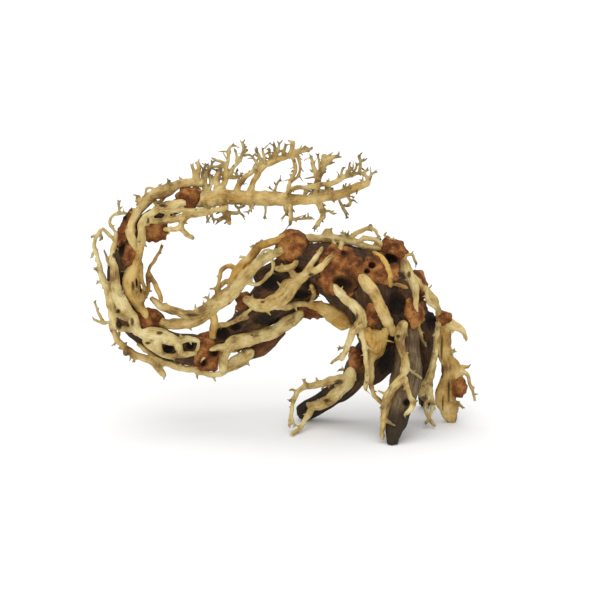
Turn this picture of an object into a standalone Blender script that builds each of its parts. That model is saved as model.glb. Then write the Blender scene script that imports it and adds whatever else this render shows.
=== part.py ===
"""Dragon wood: dark driftwood wrapped in pale roots, with the joints filled with wood putty.

Every place is read from one front drawing: x to the right, y down, both in millimetres. The drawing
plane leans back by VIEW_LEAN, and a depth is how far behind the front of the feet a point stands.
The finished part has +Z up, +X along its length, and its origin under the middle of its box.
"""

import math
import random

import bmesh
import bpy
from mathutils import Matrix, Vector

# Real sizes in millimetres
OVERALL_LENGTH = 386.0
BED_GAP = 0.4
THINNEST_TWIG = 2.2
PUTTY_BRIDGE = 3.0
# A root thicker than this to each side is flatter than it is wide, in these shares of what is over
FLAT_FROM = 3.0
LAID_FLATNESS = 0.3
FREE_FLATNESS = 0.5
# How far a laid root's middle stands off the wood, in shares of its half thickness
ROOT_LIFT = 0.65
# How far a twig's tip may lean out of the drawing, as a share of its length
TWIG_SPLAY = 0.32

# The front drawing: its length from tip to tip, its middle, its floor line and its lean
DRAWN_LENGTH = 386.0
MIDDLE_X = 284.0
FLOOR_Y = 444.0
MIDDLE_DEPTH = 74.0
VIEW_LEAN = math.radians(14.0)
METRES = OVERALL_LENGTH / DRAWN_LENGTH / 1000.0

# How finely the solids are drawn
CURVE_STEPS = 8
SHORTEST_RUN = 0.03
RING_SPACING = 23.0
TWIG_SPACING = 20.0
CORE_SPACING = 26.0
CORE_SIDES = 7
CORE_ROUGHNESS = 0.08
ROOT_ROUGHNESS = 0.09
THICK_STRAND = 4.5
PUTTY_SIDES = 6
PUTTY_RINGS = 5
PUTTY_ROUGHNESS = (0.88, 1.08)
SMOOTHING_PASSES = 3
LEAST_SIGHT = 0.1
FLOOR_SLAB = 0.06
# The sides of a strand whose radius is over each of these, in millimetres
SIDES_OVER = ((7.5, 6), (3.8, 5), (1.9, 4), (0.0, 3))
# The two rings past each end of a limb of wood: how far out and how wide, in shares of its radius
DOME_RINGS = ((0.75, 0.45), (0.45, 0.82))

# The sides of the wood on which a root or putty can lie
FRONT = -1.0
BACK = 1.0
ROUND_IT = 0.0

# Colour, roughness of each material
MATERIALS = {
    "dark_wood": ((0.060, 0.035, 0.020), 0.80),
    "pale_root": ((0.640, 0.500, 0.280), 0.62),
    "ochre_root": ((0.500, 0.310, 0.105), 0.64),
    "putty": ((0.230, 0.080, 0.035), 0.92),
}

# Each core piece of wood is one or more limbs, given as (x, y, depth, radius) along its middle.
WOOD = {
    "wood_hump": (
        ((300, 258, 80, 17), (328, 268, 80, 28.5), (356, 281, 80, 33), (382, 294, 80, 35),
         (399, 316, 80, 26)),
        ((366, 300, 68, 24), (372, 328, 67, 20), (377, 348, 70, 14)),
        ((350, 272, 80, 24), (372, 271, 80, 22), (388, 269, 80, 18)),
        ((338, 286, 82, 20), (352, 300, 82, 18)),
    ),
    "wood_belly": (
        ((213, 342, 88, 11), (228, 333, 88, 13), (245, 324, 87, 15), (262, 307, 86, 20),
         (278, 291, 84, 21), (297, 278, 82, 20)),
        ((252, 326, 92, 8), (270, 317, 92, 9), (288, 307, 90, 10), (302, 296, 87, 11),
         (312, 291, 84, 11)),
        ((264, 279, 85, 13), (278, 272, 85, 14), (292, 264, 82, 15)),
    ),
    "wood_bend": (
        ((190, 202, 86, 8), (178, 207, 87, 9), (165, 214, 88, 9), (152, 219, 88, 10),
         (141, 230, 88, 11), (132, 245, 88, 13), (123, 263, 88, 16), (121, 283, 88, 15),
         (123, 303, 88, 15), (130, 319, 88, 15), (148, 335, 88, 15), (170, 346, 88, 16),
         (190, 350, 88, 17), (205, 352, 88, 15)),
    ),
    "wood_stub": (((244, 356, 90, 7), (260, 349, 88, 10), (273, 341, 87, 7), (284, 333, 86, 4)),),
    "leg_front": (
        ((406, 326, 72, 13), (407, 350, 62, 14), (405, 374, 50, 17), (402, 392, 40, 16),
         (398, 408, 30, 13), (395, 421, 22, 12), (391, 434, 13, 9), (391, 441, 9, 7)),
    ),
    "leg_left": (
        ((382, 338, 82, 16), (364, 362, 84, 17), (350, 384, 85, 13), (330, 398, 88, 12),
         (305, 414, 91, 11)),
        ((392, 344, 86, 13), (384, 364, 87, 13), (370, 378, 87, 11)),
    ),
    "leg_right": (
        ((424, 320, 88, 14), (426, 345, 96, 10), (428, 368, 109, 9), (429, 388, 124, 9),
         (429, 405, 138, 8)),
    ),
    "leg_middle": (((410, 332, 92, 12), (414, 352, 94, 10), (413, 375, 97, 9), (411, 396, 97, 7)),),
}


def laid(side, points, *widths, lift=ROOT_LIFT):
    """A root bedded on one side of the wood, with its widths from its first end to its last."""
    return {"kind": "laid", "side": side, "points": points, "widths": widths, "lift": lift}


def front(points, *widths, lift=ROOT_LIFT):
    return laid(FRONT, points, *widths, lift=lift)


def back(points, *widths, lift=ROOT_LIFT):
    return laid(BACK, points, *widths, lift=lift)


def span(points, *widths, depths):
    """A root that stands clear of the wood, with its depths at even steps along it."""
    return {"kind": "span", "points": points, "widths": widths, "depths": depths}


def twig(points, *widths, lean=None):
    """A twig that grows from the strands before it; its tip ends lean further back than its foot."""
    return {"kind": "twig", "points": points, "widths": widths, "lean": lean}


def bridge(points, *widths, lean=0.0):
    """A strand that grows from the strands before it and back into them, bowed back by lean."""
    return {"kind": "bridge", "points": points, "widths": widths, "lean": lean}


TAIL_ROOT = (
    span(((198, 200), (212, 200), (228, 198), (244, 199), (258, 199), (271, 200), (284, 200),
          (296, 201), (308, 201), (320, 199), (332, 197), (344, 194), (356, 189), (368, 184)),
         17, 17, 15, 14.5, 15, 15, 15, 12, 10, 10, 9.5, 9, 8.5, 5.5, depths=(86, 84, 80, 76, 74)),
    twig(((249, 193), (254, 184), (258, 176), (262, 169), (270, 165), (279, 161), (288, 158),
          (296, 156), (305, 153), (313, 150)), 8, 6.5, 6, 6, 7, 6.4, 4.6, 3.4, 2.4, lean=-12),
    twig(((282, 160), (291, 155), (299, 152), (306, 149)), 4, 2.8, 2.4, lean=-4),
    twig(((264, 167), (260, 159), (257, 151)), 4, 3, 2.4, lean=4),
    twig(((266, 166), (264, 158), (263, 150)), 3.6, 2.8, 2.4, lean=-3),
    twig(((271, 164), (270, 157), (270, 150)), 3.4, 2.6, lean=4),
    twig(((276, 162), (276, 154), (274, 147)), 4.4, 3.4, 2.4, lean=-4),
    twig(((276, 157), (279, 151), (279, 145)), 3, 2.4, lean=-2),
    twig(((284, 160), (284, 152), (286, 146)), 4.4, 3, 2.4, lean=3),
    twig(((291, 157), (292, 150), (293, 143)), 5.4, 5, lean=-2),
    twig(((261, 170), (256, 162), (250, 157), (244, 158)), 3, 2.4, lean=-6),
    twig(((258, 174), (253, 169), (257, 166)), 3, 2.4, lean=5),
    bridge(((292, 158), (295, 166), (294, 176), (290, 185), (287, 193)), 4.2, 4, lean=-3),
    bridge(((297, 157), (300, 166), (299, 176), (292, 186)), 3, 2.8, lean=3),
    twig(((316, 199), (316, 190), (318, 181), (321, 172), (323, 164), (324, 156)),
         9, 7, 6.4, 6.6, 5.6, lean=6),
    twig(((318, 180), (314, 171), (312, 163), (311, 157)), 5, 4, 3, lean=6),
    twig(((320, 173), (319, 164), (317, 156)), 3, 2.4, lean=-6),
    twig(((321, 171), (327, 164), (333, 159), (338, 157)), 6, 5, 3, lean=-4),
    twig(((316, 184), (311, 188), (305, 190)), 3, 2.4, lean=-8),
    bridge(((283, 197), (292, 191), (303, 189), (314, 188), (326, 186), (335, 184), (343, 180),
            (351, 177), (359, 175), (365, 178), (368, 183)), 6, 5, 4.4, 5.4, 5, 4.2, 3.4, 3,
           lean=-9),
    twig(((340, 182), (341, 175), (343, 169)), 3.4, 2.4, lean=3),
    twig(((344, 179), (347, 173), (352, 172)), 3, 2.4, lean=-4),
    twig(((347, 178), (349, 170), (349, 164)), 3, 2.4, lean=5),
    twig(((351, 177), (355, 171), (356, 166)), 2.6, 2.2, lean=-3),
    twig(((358, 175), (359, 166), (358, 157)), 3.4, 2.6, lean=2),
    twig(((359, 163), (365, 162)), 2.8, 2.4),
    twig(((361, 176), (367, 172)), 2.8, 2.4),
    twig(((367, 182), (370, 177), (375, 174)), 2.8, 2.2),
    twig(((328, 197), (327, 190), (327, 184)), 6, 6, 5, lean=-3),
    twig(((332, 196), (331, 189)), 4, 3.4, lean=4),
    twig(((257, 205), (252, 209), (248, 214)), 3, 2.4, lean=-3),
    twig(((265, 205), (266, 212), (265, 219)), 3, 2.4),
    twig(((285, 204), (286, 211), (287, 216)), 6, 3.4, lean=4),
    twig(((290, 204), (291, 214), (290, 226)), 6, 4.6, 3.4, lean=-5),
    twig(((291, 219), (301, 220), (312, 219)), 3, 2.4, lean=5),
    twig(((318, 202), (321, 211), (324, 220)), 7, 6, 5, lean=5),
    twig(((321, 217), (318, 224), (314, 230)), 4.4, 3.4, lean=-5),
    twig(((323, 213), (329, 212), (334, 215)), 3, 2.4, lean=4),
    twig(((337, 199), (341, 207), (344, 213), (346, 219)), 3.4, 2.6, lean=-4),
    twig(((344, 196), (349, 201), (349, 207), (343, 207)), 3.4, 2.8, 2.4, lean=4),
    twig(((348, 202), (355, 202)), 2.6, 2.2, lean=-3),
    twig(((206, 194), (205, 184), (203, 174), (207, 165)), 5, 3.6, 2.6, lean=6),
    twig(((211, 193), (212, 184), (210, 174), (214, 163)), 6, 3.4, 2.4, lean=-8),
    twig(((217, 192), (217, 183), (218, 172)), 6.4, 4.4, 3, lean=3),
    twig(((222, 192), (226, 182), (227, 171), (229, 160), (230, 151), (235, 147)),
         8, 5.4, 4, 3.4, 3, lean=-7),
    twig(((234, 192), (241, 184), (248, 177), (255, 171), (259, 164)), 7, 6, 5, 3.4, lean=-3),
    twig(((229, 182), (233, 171), (239, 163), (242, 157), (244, 150), (243, 143)),
         4.4, 3.8, 3.6, 3, lean=6),
    twig(((243, 155), (246, 148)), 3, 2.6, lean=-3),
    twig(((238, 164), (237, 157), (236, 151)), 2.6, 2.2, lean=-5),
    twig(((228, 166), (221, 163), (213, 160)), 3, 2.4, lean=5),
    twig(((227, 169), (220, 168), (213, 169), (207, 172)), 3, 2.4, lean=-4),
    twig(((220, 184), (218, 177), (221, 172)), 5, 5, 4.4, lean=-6),
    twig(((226, 178), (223, 175), (221, 170)), 4.4, 4, lean=5),
    twig(((230, 180), (236, 179), (242, 176)), 3.4, 2.6, lean=9),
    twig(((212, 190), (206, 185), (200, 182)), 4.4, 3, lean=11),
    twig(((216, 190), (220, 178), (222, 166)), 4, 2.8, 2.2, lean=20),
    twig(((240, 194), (240, 183), (236, 172)), 4, 2.8, 2.2, lean=19),
    twig(((208, 192), (207, 180), (210, 170)), 4, 2.8, 2.2, lean=-19),
    twig(((274, 196), (276, 187), (281, 180)), 4, 2.6, 2.2, lean=17),
    twig(((302, 198), (306, 192), (309, 184)), 3.4, 2.4, lean=15),
    twig(((266, 166), (262, 160), (256, 156)), 3, 2.4, lean=13),
    twig(((223, 204), (225, 211), (228, 218), (231, 226)), 9, 8.4, 7, 4, lean=4),
    twig(((228, 217), (222, 219), (218, 224)), 4.6, 3, lean=-6),
    twig(((226, 212), (233, 214), (239, 213), (245, 217)), 3.6, 3, 2.4, lean=-5),
    twig(((211, 205), (208, 214), (209, 223)), 3.4, 2.6, lean=-5),
    twig(((214, 206), (212, 215), (215, 222)), 3, 2.4, lean=6),
    twig(((232, 203), (238, 208), (243, 207)), 3, 2.4, lean=14),
)

BROW_ROOT = (
    front(((205, 184), (196, 184), (186, 184), (176, 187), (166, 190), (156, 195), (147, 203),
           (139, 213), (134, 223), (132, 233), (134, 243), (139, 251)),
          7, 9, 9, 9, 10, 11, 11, 9, 9, 10, 9, 6),
    bridge(((181, 188), (172, 194), (162, 197), (152, 201)), 5, 5, lean=-2),
    bridge(((172, 190), (166, 197), (160, 203), (154, 207)), 3.6, 3.6, lean=4),
    twig(((199, 183), (200, 173), (199, 163)), 5.4, 4.6, 3.6, lean=-2),
    twig(((196, 182), (195, 174), (193, 166)), 4.4, 3.6, lean=3),
    twig(((204, 184), (207, 177), (205, 170)), 4, 3, lean=5),
    twig(((170, 188), (170, 182)), 4, 3.4, lean=-2),
    twig(((161, 191), (161, 185)), 3, 2.4, lean=3),
    twig(((155, 194), (153, 188), (147, 190), (147, 196)), 3.4, 2.8, 2.8, lean=3),
    twig(((142, 208), (139, 201), (140, 196)), 5.4, 4.4, lean=2),
    twig(((136, 216), (134, 209)), 5, 4.4, lean=3),
)

NECK_ROOT = (
    front(((188, 204), (178, 205), (168, 207), (159, 211), (151, 215), (145, 221), (143, 230),
           (143, 239), (141, 248)), 7, 8.4, 9.4, 8.4, 7.4, 7.4, 8, 9, 8),
    twig(((147, 220), (159, 222), (171, 221), (182, 218), (193, 216), (204, 214), (216, 212),
          (229, 208)), 5, 6.4, 6.8, 6.8, 6, 5.4, 5, lean=-4),
    twig(((160, 212), (171, 213), (182, 211), (194, 211), (207, 211)), 4.4, 4.4, 4.4, 4, lean=-5),
    twig(((187, 217), (184, 223), (182, 230)), 6, 5.6, lean=-3),
    twig(((182, 229), (174, 231), (165, 230)), 5.4, 5, lean=-3),
    twig(((182, 229), (188, 235), (195, 239)), 5.4, 4, lean=4),
)

BEND_ROOT = (
    front(((141, 244), (140, 254), (137, 263), (132, 273), (130, 283), (132, 293), (138, 303),
           (143, 312), (146, 320)), 9, 9, 10, 13, 14, 15, 14, 9, 7, lift=0.35),
    bridge(((139, 257), (142, 267), (142, 279), (145, 291), (145, 303)), 4.4, 4.2, 4.4, lean=-2),
    bridge(((134, 267), (138, 276), (139, 286), (138, 298)), 3.6, 3.6, lean=2),
    twig(((145, 302), (148, 291), (148, 280), (149, 271), (154, 261), (159, 254), (163, 246)),
         5, 4.4, 3.8, 3.6, 3, lean=-5),
    twig(((149, 274), (155, 283), (159, 292), (162, 303)), 4.6, 5, 5, lean=-4),
)

CHEEK_ROOT = (
    front(((103, 229), (97, 236), (95, 245), (97, 254), (99, 263), (101, 272), (104, 281),
           (109, 290), (112, 300), (113, 310), (114, 320), (117, 330)),
          4, 4, 4, 4.4, 5.4, 7, 8, 10, 11, 11, 9, 7),
    front(((117, 231), (117, 240), (114, 249), (114, 259), (116, 269), (116, 279), (117, 289),
           (120, 299), (126, 308), (132, 317), (136, 327), (140, 335)),
          5, 6, 6, 7, 8.4, 10, 13, 14, 13, 12, 11, 10),
    front(((113, 312), (122, 314), (131, 320)), 9, 9),
    front(((116, 325), (123, 329), (134, 330)), 7, 6.4),
    front(((128, 214), (120, 214), (113, 217), (110, 222), (113, 228), (117, 234)), 3.4, 3.2, 3.4),
    twig(((120, 214), (120, 202)), 2.8, 2.2, lean=-5),
    twig(((98, 236), (92, 237)), 3, 2.4, lean=-4),
    twig(((101, 232), (103, 239)), 2.6, 2.2, lean=4),
    twig(((96, 249), (92, 258)), 2.6, 2.2, lean=5),
    twig(((101, 272), (96, 270)), 3, 2.4, lean=-3),
    twig(((104, 282), (97, 282)), 4, 3, lean=3),
    bridge(((104, 230), (109, 234), (114, 242)), 3.4, 3.4, lean=-2),
    twig(((114, 320), (103, 323), (92, 319)), 4, 3.4, 2.6, lean=4),
    twig(((103, 322), (98, 312), (94, 301)), 3.4, 3, 2.6, lean=-5),
)

ARCH_ROOT = (
    span(((151, 297), (158, 304), (169, 309), (181, 313), (193, 314), (204, 310), (215, 304),
          (226, 297), (235, 290), (242, 281), (250, 272), (259, 263), (270, 256), (283, 250)),
         4, 8, 9, 9, 9, 11, 16, 17, 13, 12.5, 12, 11, 9, 8, depths=(76, 74, 74, 72, 68)),
    span(((231, 290), (233, 280), (238, 270), (246, 263), (252, 256), (258, 248), (270, 243),
          (286, 238)), 5, 8.4, 10, 9, 9, 8.4, 8, 8, depths=(80, 80, 74)),
    bridge(((217, 298), (217, 289), (220, 281), (221, 273), (225, 267), (233, 267), (238, 271)),
           5, 4, 4, 5, 5.4, lean=-4),
    bridge(((219, 289), (225, 282), (232, 280)), 4.6, 4.6, lean=3),
    twig(((230, 280), (229, 288)), 3.4, 2.8, lean=-2),
    twig(((218, 288), (210, 289)), 3, 2.2, lean=-3),
    twig(((214, 301), (206, 297)), 3.2, 2.2, lean=3),
    twig(((209, 304), (203, 303)), 3, 2.2, lean=-4),
    twig(((249, 258), (240, 257)), 3.4, 2.4, lean=-3),
    twig(((254, 252), (252, 247)), 3.4, 2.8, lean=3),
    twig(((261, 246), (262, 241)), 3.4, 2.4, lean=3),
    bridge(((247, 285), (258, 284), (267, 277), (274, 268), (271, 259)), 4, 4, lean=3),
    bridge(((255, 268), (260, 257), (266, 251), (275, 249)), 3, 3, lean=-4),
)

THROAT_ROOT = (
    span(((160, 322), (170, 324), (181, 324), (192, 322), (202, 318), (211, 311), (218, 304)),
         9, 11.4, 11.4, 11, 11, 11, 9, depths=(80, 79, 78)),
    twig(((211, 312), (215, 321), (213, 329), (212, 339)), 8, 8, 7.4, lean=6),
)

LATTICE_ROOT = (
    front(((137, 334), (147, 334), (157, 334), (167, 338), (177, 341), (188, 339), (200, 342)),
          9, 13, 15, 14, 9, 6, 5),
    front(((144, 339), (153, 347), (161, 354), (172, 356), (184, 355), (197, 352)),
          8, 9, 6, 5.4, 6, 5),
    front(((156, 338), (158, 346), (161, 354)), 9, 9),
    front(((177, 341), (179, 349), (180, 356)), 8, 7.4),
    front(((199, 343), (198, 348), (195, 353)), 4, 4),
)

KEEL_ROOT = (
    front(((109, 323), (113, 332), (118, 341), (124, 348), (132, 354), (142, 358), (152, 363),
           (159, 370), (165, 377)), 6, 6, 6.4, 7, 8, 8, 8, 7, 6, lift=0.1),
    front(((137, 343), (146, 351), (155, 358), (166, 364), (180, 368), (192, 370), (204, 373),
           (215, 375), (227, 373)), 5, 5.4, 6.4, 7.4, 7.4, 6.6, 6, 5),
    front(((206, 355), (200, 362), (193, 369)), 3.4, 3.6),
    twig(((125, 349), (125, 356)), 6, 5.4, lean=-2),
    twig(((134, 355), (133, 362)), 4, 3, lean=2),
    twig(((124, 348), (118, 348)), 3.4, 2.6, lean=2),
)

BELLY_ROOT = (
    front(((223, 373), (223, 362), (225, 352), (231, 344), (241, 341), (254, 337), (267, 334),
           (280, 328), (292, 320), (303, 311)), 9, 10, 12, 15, 15, 15, 14, 13.4, 13, 10, lift=1.8),
    front(((209, 350), (218, 348), (228, 345)), 3.4, 7, 9),
    front(((222, 371), (232, 365), (242, 359), (253, 350)), 9, 14, 15, 8),
)

BELLY_TWIG = (
    front(((212, 332), (219, 325), (228, 324), (237, 321), (244, 316), (250, 310), (256, 304)),
          5, 5, 4.6, 4.4, 4),
    twig(((239, 320), (247, 318), (256, 314), (266, 310)), 3.6, 3, lean=-1),
    twig(((231, 323), (239, 317), (246, 311)), 3, 2.6, lean=-2),
)

WEB_ROOT = (
    front(((245, 298), (255, 304), (266, 305), (277, 301), (286, 293), (294, 283), (304, 276),
           (314, 272), (322, 266), (329, 260), (337, 254), (341, 247), (341, 240)),
          8, 12, 14, 15, 17, 18, 14, 8, 7, 7, 8, 6, 4.6),
    front(((302, 280), (308, 270), (313, 262), (318, 255), (322, 247)), 12, 8, 6, 5.4, 4.6),
    front(((334, 256), (334, 248), (333, 240)), 5.4, 4.4),
    front(((274, 305), (286, 306), (298, 304), (310, 304)), 10, 8, 6.4, 5.4),
    front(((307, 304), (319, 307), (330, 312), (340, 320), (349, 326)), 7, 11, 17, 19, 14),
    front(((311, 285), (314, 294), (310, 304)), 6, 4.6, 4.6),
    front(((274, 269), (283, 269), (291, 267), (298, 261)), 5, 7.4, 7.4, 5),
    front(((287, 268), (293, 273), (298, 281)), 5.4, 7.4),
)

CREST_ROOT = (
    front(((298, 240), (309, 238), (322, 239), (336, 239), (349, 241), (361, 245), (373, 248),
           (386, 249)), 6, 8, 9, 9, 8, 7, 6.4, 6),
    twig(((327, 238), (327, 234), (328, 229)), 13, 11, 8, lean=0),
    twig(((348, 240), (354, 235), (361, 231), (369, 229), (377, 232)), 5, 5, 4.4, 3.6, lean=-5),
    twig(((369, 230), (370, 225)), 4.6, 4, lean=2),
    twig(((376, 231), (378, 237)), 3, 2.4, lean=2),
    bridge(((355, 242), (365, 239), (375, 240), (384, 246)), 5, 5, lean=-4),
    twig(((384, 247), (388, 240), (395, 241)), 4.4, 3.4, lean=-2),
    twig(((386, 243), (385, 233)), 3, 2.4, lean=3),
    twig(((345, 239), (342, 232)), 3.4, 2.8, lean=3),
    twig(((351, 240), (347, 234)), 3.2, 2.6, lean=-5),
)

SHOULDER_ROOT = (
    front(((332, 284), (338, 291), (345, 299), (353, 305), (359, 312), (361, 321), (360, 331)),
          5, 8, 10, 10, 11, 11, 9),
    twig(((357, 322), (352, 331), (349, 341), (345, 350), (340, 360)), 10, 8, 6.4, 5, lean=7),
    twig(((348, 346), (338, 348)), 3.6, 2.6, lean=-3),
    twig(((343, 355), (331, 362)), 3.6, 2.8, lean=4),
    twig(((361, 326), (362, 338), (364, 350), (366, 362), (366, 375), (365, 389)),
         7, 5.4, 5, 4.8, 4.4, lean=4),
)

YELLOW_ROOT = (
    front(((360, 274), (364, 282), (369, 289), (375, 297), (379, 306), (383, 315), (388, 324),
           (393, 335)), 9, 13, 12, 11, 11.4, 12, 11, 9),
)

TAN_ROOT = (
    front(((372, 252), (381, 259), (386, 267), (388, 277), (389, 288)), 5.4, 6.4, 6.4, 6),
    front(((388, 284), (398, 285), (407, 289)), 3.4, 3.4),
)

SHANK_ROOT = (
    front(((375, 330), (375, 339), (375, 348), (373, 358)), 19, 21, 20, 12),
    twig(((372, 351), (371, 363), (371, 375), (371, 386), (374, 395), (381, 402), (387, 406)),
         8, 5.6, 5.2, 5, 4.6, 4, lean=-4),
)

FLANK_ROOT = (
    front(((403, 254), (402, 261), (405, 268), (409, 276), (412, 284), (414, 292), (414, 301),
           (414, 311), (416, 322), (420, 334), (427, 347)), 5, 10, 11, 9, 9, 9, 6.4, 5.6, 5, 4, 3),
    twig(((411, 273), (416, 279), (420, 285), (425, 291)), 5.6, 5.4, 4.4, lean=6),
    twig(((402, 264), (400, 273)), 5, 3.6, lean=-3),
    twig(((413, 298), (405, 302)), 4, 2.6, lean=-4),
    twig(((405, 259), (410, 254), (416, 265)), 3.4, 2.6, lean=-2),
)

FLAG_ROOT = (
    span(((423, 286), (430, 294), (436, 304), (439, 314), (438, 326), (437, 338), (436, 351),
          (434, 364), (431, 376), (429, 388), (432, 399), (436, 411)),
         6, 6, 6.4, 6.4, 6, 6, 6.4, 7, 8.4, 10, 6.4, 4, depths=(72, 78, 80, 80, 78)),
    bridge(((424, 289), (428, 301), (438, 311)), 4.4, 4.4, lean=-3),
    twig(((430, 381), (424, 388), (421, 397)), 8, 7, lean=-5),
    bridge(((421, 394), (425, 400), (431, 398)), 5, 5, lean=-2),
    twig(((430, 397), (426, 407), (429, 418), (436, 427)), 4, 3.4, 3, lean=-10),
    twig(((434, 406), (431, 415), (426, 425)), 3.6, 2.8, lean=-14),
)

FOOT_ROOT = (
    span(((447, 316), (446, 328), (445, 341), (446, 354), (449, 366), (449, 378), (446, 389),
          (447, 399), (450, 409), (455, 424)), 8, 11, 14, 16, 14, 12, 17, 22, 19, 9,
         depths=(80, 84, 85, 84)),
    span(((451, 360), (457, 368), (458, 377), (457, 389)), 9, 13, 12, 7, depths=(85, 85)),
    twig(((446, 322), (456, 326), (463, 332), (467, 340)), 12, 10, 6.4, 2.8, lean=-3),
    twig(((449, 351), (456, 351)), 4.4, 3, lean=3),
    twig(((458, 366), (465, 368), (471, 367)), 5.6, 4, 2.8, lean=5),
    twig(((461, 372), (468, 374), (471, 383), (474, 393), (476, 401)), 5, 4, 3.4, 3, lean=-4),
    twig(((452, 401), (459, 404), (465, 409)), 6, 4.4, 2.8, lean=-3),
)

SHIN_ROOT = (
    front(((405, 321), (400, 330), (399, 341), (402, 352), (404, 363), (403, 374)),
          9, 12, 10, 8, 8.4, 11),
    front(((403, 374), (396, 382), (389, 391), (386, 400), (384, 410), (382, 420), (381, 430),
           (381, 438)), 9, 8.4, 10, 11, 10, 6.4, 5, 4),
    front(((404, 375), (405, 386), (408, 395), (412, 401), (409, 408), (402, 413)),
          7, 5.4, 5.4, 6.4, 6, 4.4, lift=0.3),
    front(((410, 322), (413, 332), (416, 343), (419, 355), (422, 366), (422, 377), (420, 387)),
          5, 5, 5, 5, 4.6, 4.4),
    front(((405, 367), (412, 372), (421, 378)), 3.4, 3.4),
    front(((383, 416), (388, 421), (394, 423)), 3.4, 3),
    twig(((421, 363), (430, 364)), 3.6, 2.6, lean=-3),
)

LEG_ROOT = (
    front(((353, 368), (349, 378), (343, 388), (335, 396), (325, 403), (315, 407), (306, 404)),
          10, 15, 13, 12, 12, 10, 5),
    front(((342, 390), (334, 385)), 4.4, 3.6),
    twig(((313, 408), (308, 416), (303, 424), (297, 430), (291, 435)), 7, 6, 4.6, 3.6, lean=-38),
    twig(((345, 376), (334, 380), (323, 383), (313, 386), (304, 387), (298, 391), (294, 400),
          (292, 410), (289, 426)), 8, 8, 7.4, 6, 4.4, 4, 3.6, lean=-10),
    twig(((307, 386), (304, 379)), 4.4, 3, lean=3),
    twig(((297, 392), (291, 389)), 3, 2.4, lean=-3),
    twig(((294, 398), (289, 401)), 4, 3.4, lean=3),
    twig(((291, 415), (295, 426)), 3, 2.4, lean=-3),
)

NAPE_ROOT = (
    back(((186, 207), (170, 213), (152, 222), (142, 238), (133, 256), (127, 275), (130, 296),
          (139, 315), (155, 332), (175, 343), (197, 349)), 8, 9, 10, 10, 9, 10, 10, 9, 8),
    back(((152, 222), (134, 234), (120, 254), (113, 276), (115, 298), (125, 318), (140, 333),
          (157, 344), (175, 343)), 6, 7, 8, 7, 7, 6),
    back(((127, 275), (120, 288), (115, 298)), 5, 5),
    twig(((114, 270), (107, 262), (103, 250)), 3.4, 2.4, lean=4),
    twig(((126, 318), (118, 330), (116, 343)), 3.6, 2.6, lean=3),
    twig(((150, 338), (156, 352), (167, 362)), 5, 4, lean=-2),
    twig(((165, 216), (160, 203), (164, 193)), 3.6, 2.6, lean=3),
)

LOIN_ROOT = (
    back(((216, 348), (232, 338), (247, 325), (262, 308), (277, 292), (296, 279), (312, 268)),
         9, 10, 11, 12, 11, 10),
    back(((217, 347), (235, 349), (252, 338), (268, 322), (284, 306), (298, 290), (312, 284)),
         7, 8, 8, 8, 8, 7),
    back(((262, 308), (268, 316), (270, 321)), 6, 6),
    twig(((238, 333), (232, 322), (235, 312)), 3.6, 2.6, lean=4),
    twig(((283, 288), (276, 277), (266, 272)), 4, 2.8, lean=2),
)

BACK_ROOT = (
    back(((306, 250), (322, 255), (342, 258), (362, 260), (382, 268), (400, 282), (408, 300),
          (410, 318)), 8, 10, 11, 10, 10, 9, 8, 7),
    back(((312, 272), (330, 276), (348, 284), (364, 298), (376, 316), (384, 334)), 8, 10, 10, 9, 8),
    back(((342, 258), (352, 272), (364, 286), (382, 296), (398, 308), (404, 322)), 7, 8, 8, 7, 6),
    back(((343, 258), (334, 268), (331, 280), (337, 292), (350, 302), (362, 310), (374, 313)), 6, 6),
    twig(((366, 261), (372, 248), (382, 238)), 4, 2.6, lean=6),
    twig(((324, 256), (320, 244), (312, 236)), 3.8, 2.6, lean=6),
    twig(((405, 292), (418, 300), (424, 312)), 4.4, 3, lean=2),
)

HOCK_ROOT = (
    back(((384, 346), (374, 364), (354, 383), (333, 396), (316, 407)), 6, 7, 7, 6, 5),
    twig(((360, 378), (352, 372), (340, 371)), 3.6, 2.6, lean=6),
    twig(((330, 398), (322, 390)), 3.4, 2.6, lean=5),
)

# The roots of each material, in the order in which they were laid: an earlier root runs whole
ROOTS = {
    "tail_root": ("pale_root", TAIL_ROOT),
    "brow_root": ("pale_root", BROW_ROOT),
    "neck_root": ("pale_root", NECK_ROOT),
    "bend_root": ("ochre_root", BEND_ROOT),
    "arch_root": ("pale_root", ARCH_ROOT),
    "throat_root": ("pale_root", THROAT_ROOT),
    "cheek_root": ("pale_root", CHEEK_ROOT),
    "lattice_root": ("pale_root", LATTICE_ROOT),
    "keel_root": ("pale_root", KEEL_ROOT),
    "belly_root": ("pale_root", BELLY_ROOT),
    "belly_twig": ("pale_root", BELLY_TWIG),
    "shoulder_root": ("pale_root", SHOULDER_ROOT),
    "web_root": ("ochre_root", WEB_ROOT),
    "crest_root": ("pale_root", CREST_ROOT),
    "yellow_root": ("ochre_root", YELLOW_ROOT),
    "tan_root": ("pale_root", TAN_ROOT),
    "shank_root": ("ochre_root", SHANK_ROOT),
    "shin_root": ("pale_root", SHIN_ROOT),
    "flank_root": ("pale_root", FLANK_ROOT),
    "flag_root": ("pale_root", FLAG_ROOT),
    "foot_root": ("pale_root", FOOT_ROOT),
    "leg_root": ("pale_root", LEG_ROOT),
    "nape_root": ("pale_root", NAPE_ROOT),
    "loin_root": ("ochre_root", LOIN_ROOT),
    "back_root": ("pale_root", BACK_ROOT),
    "hock_root": ("pale_root", HOCK_ROOT),
}


def lump(x, y, half_width, half_height, half_thickness, side=FRONT, turn=0.0, depth=None):
    """Putty pressed on one side of the wood, or round it, or at its own depth, turned clockwise."""
    return {"place": (x, y), "reach": (half_width, half_height, half_thickness), "side": side,
            "turn": math.radians(turn), "depth": depth}


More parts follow.
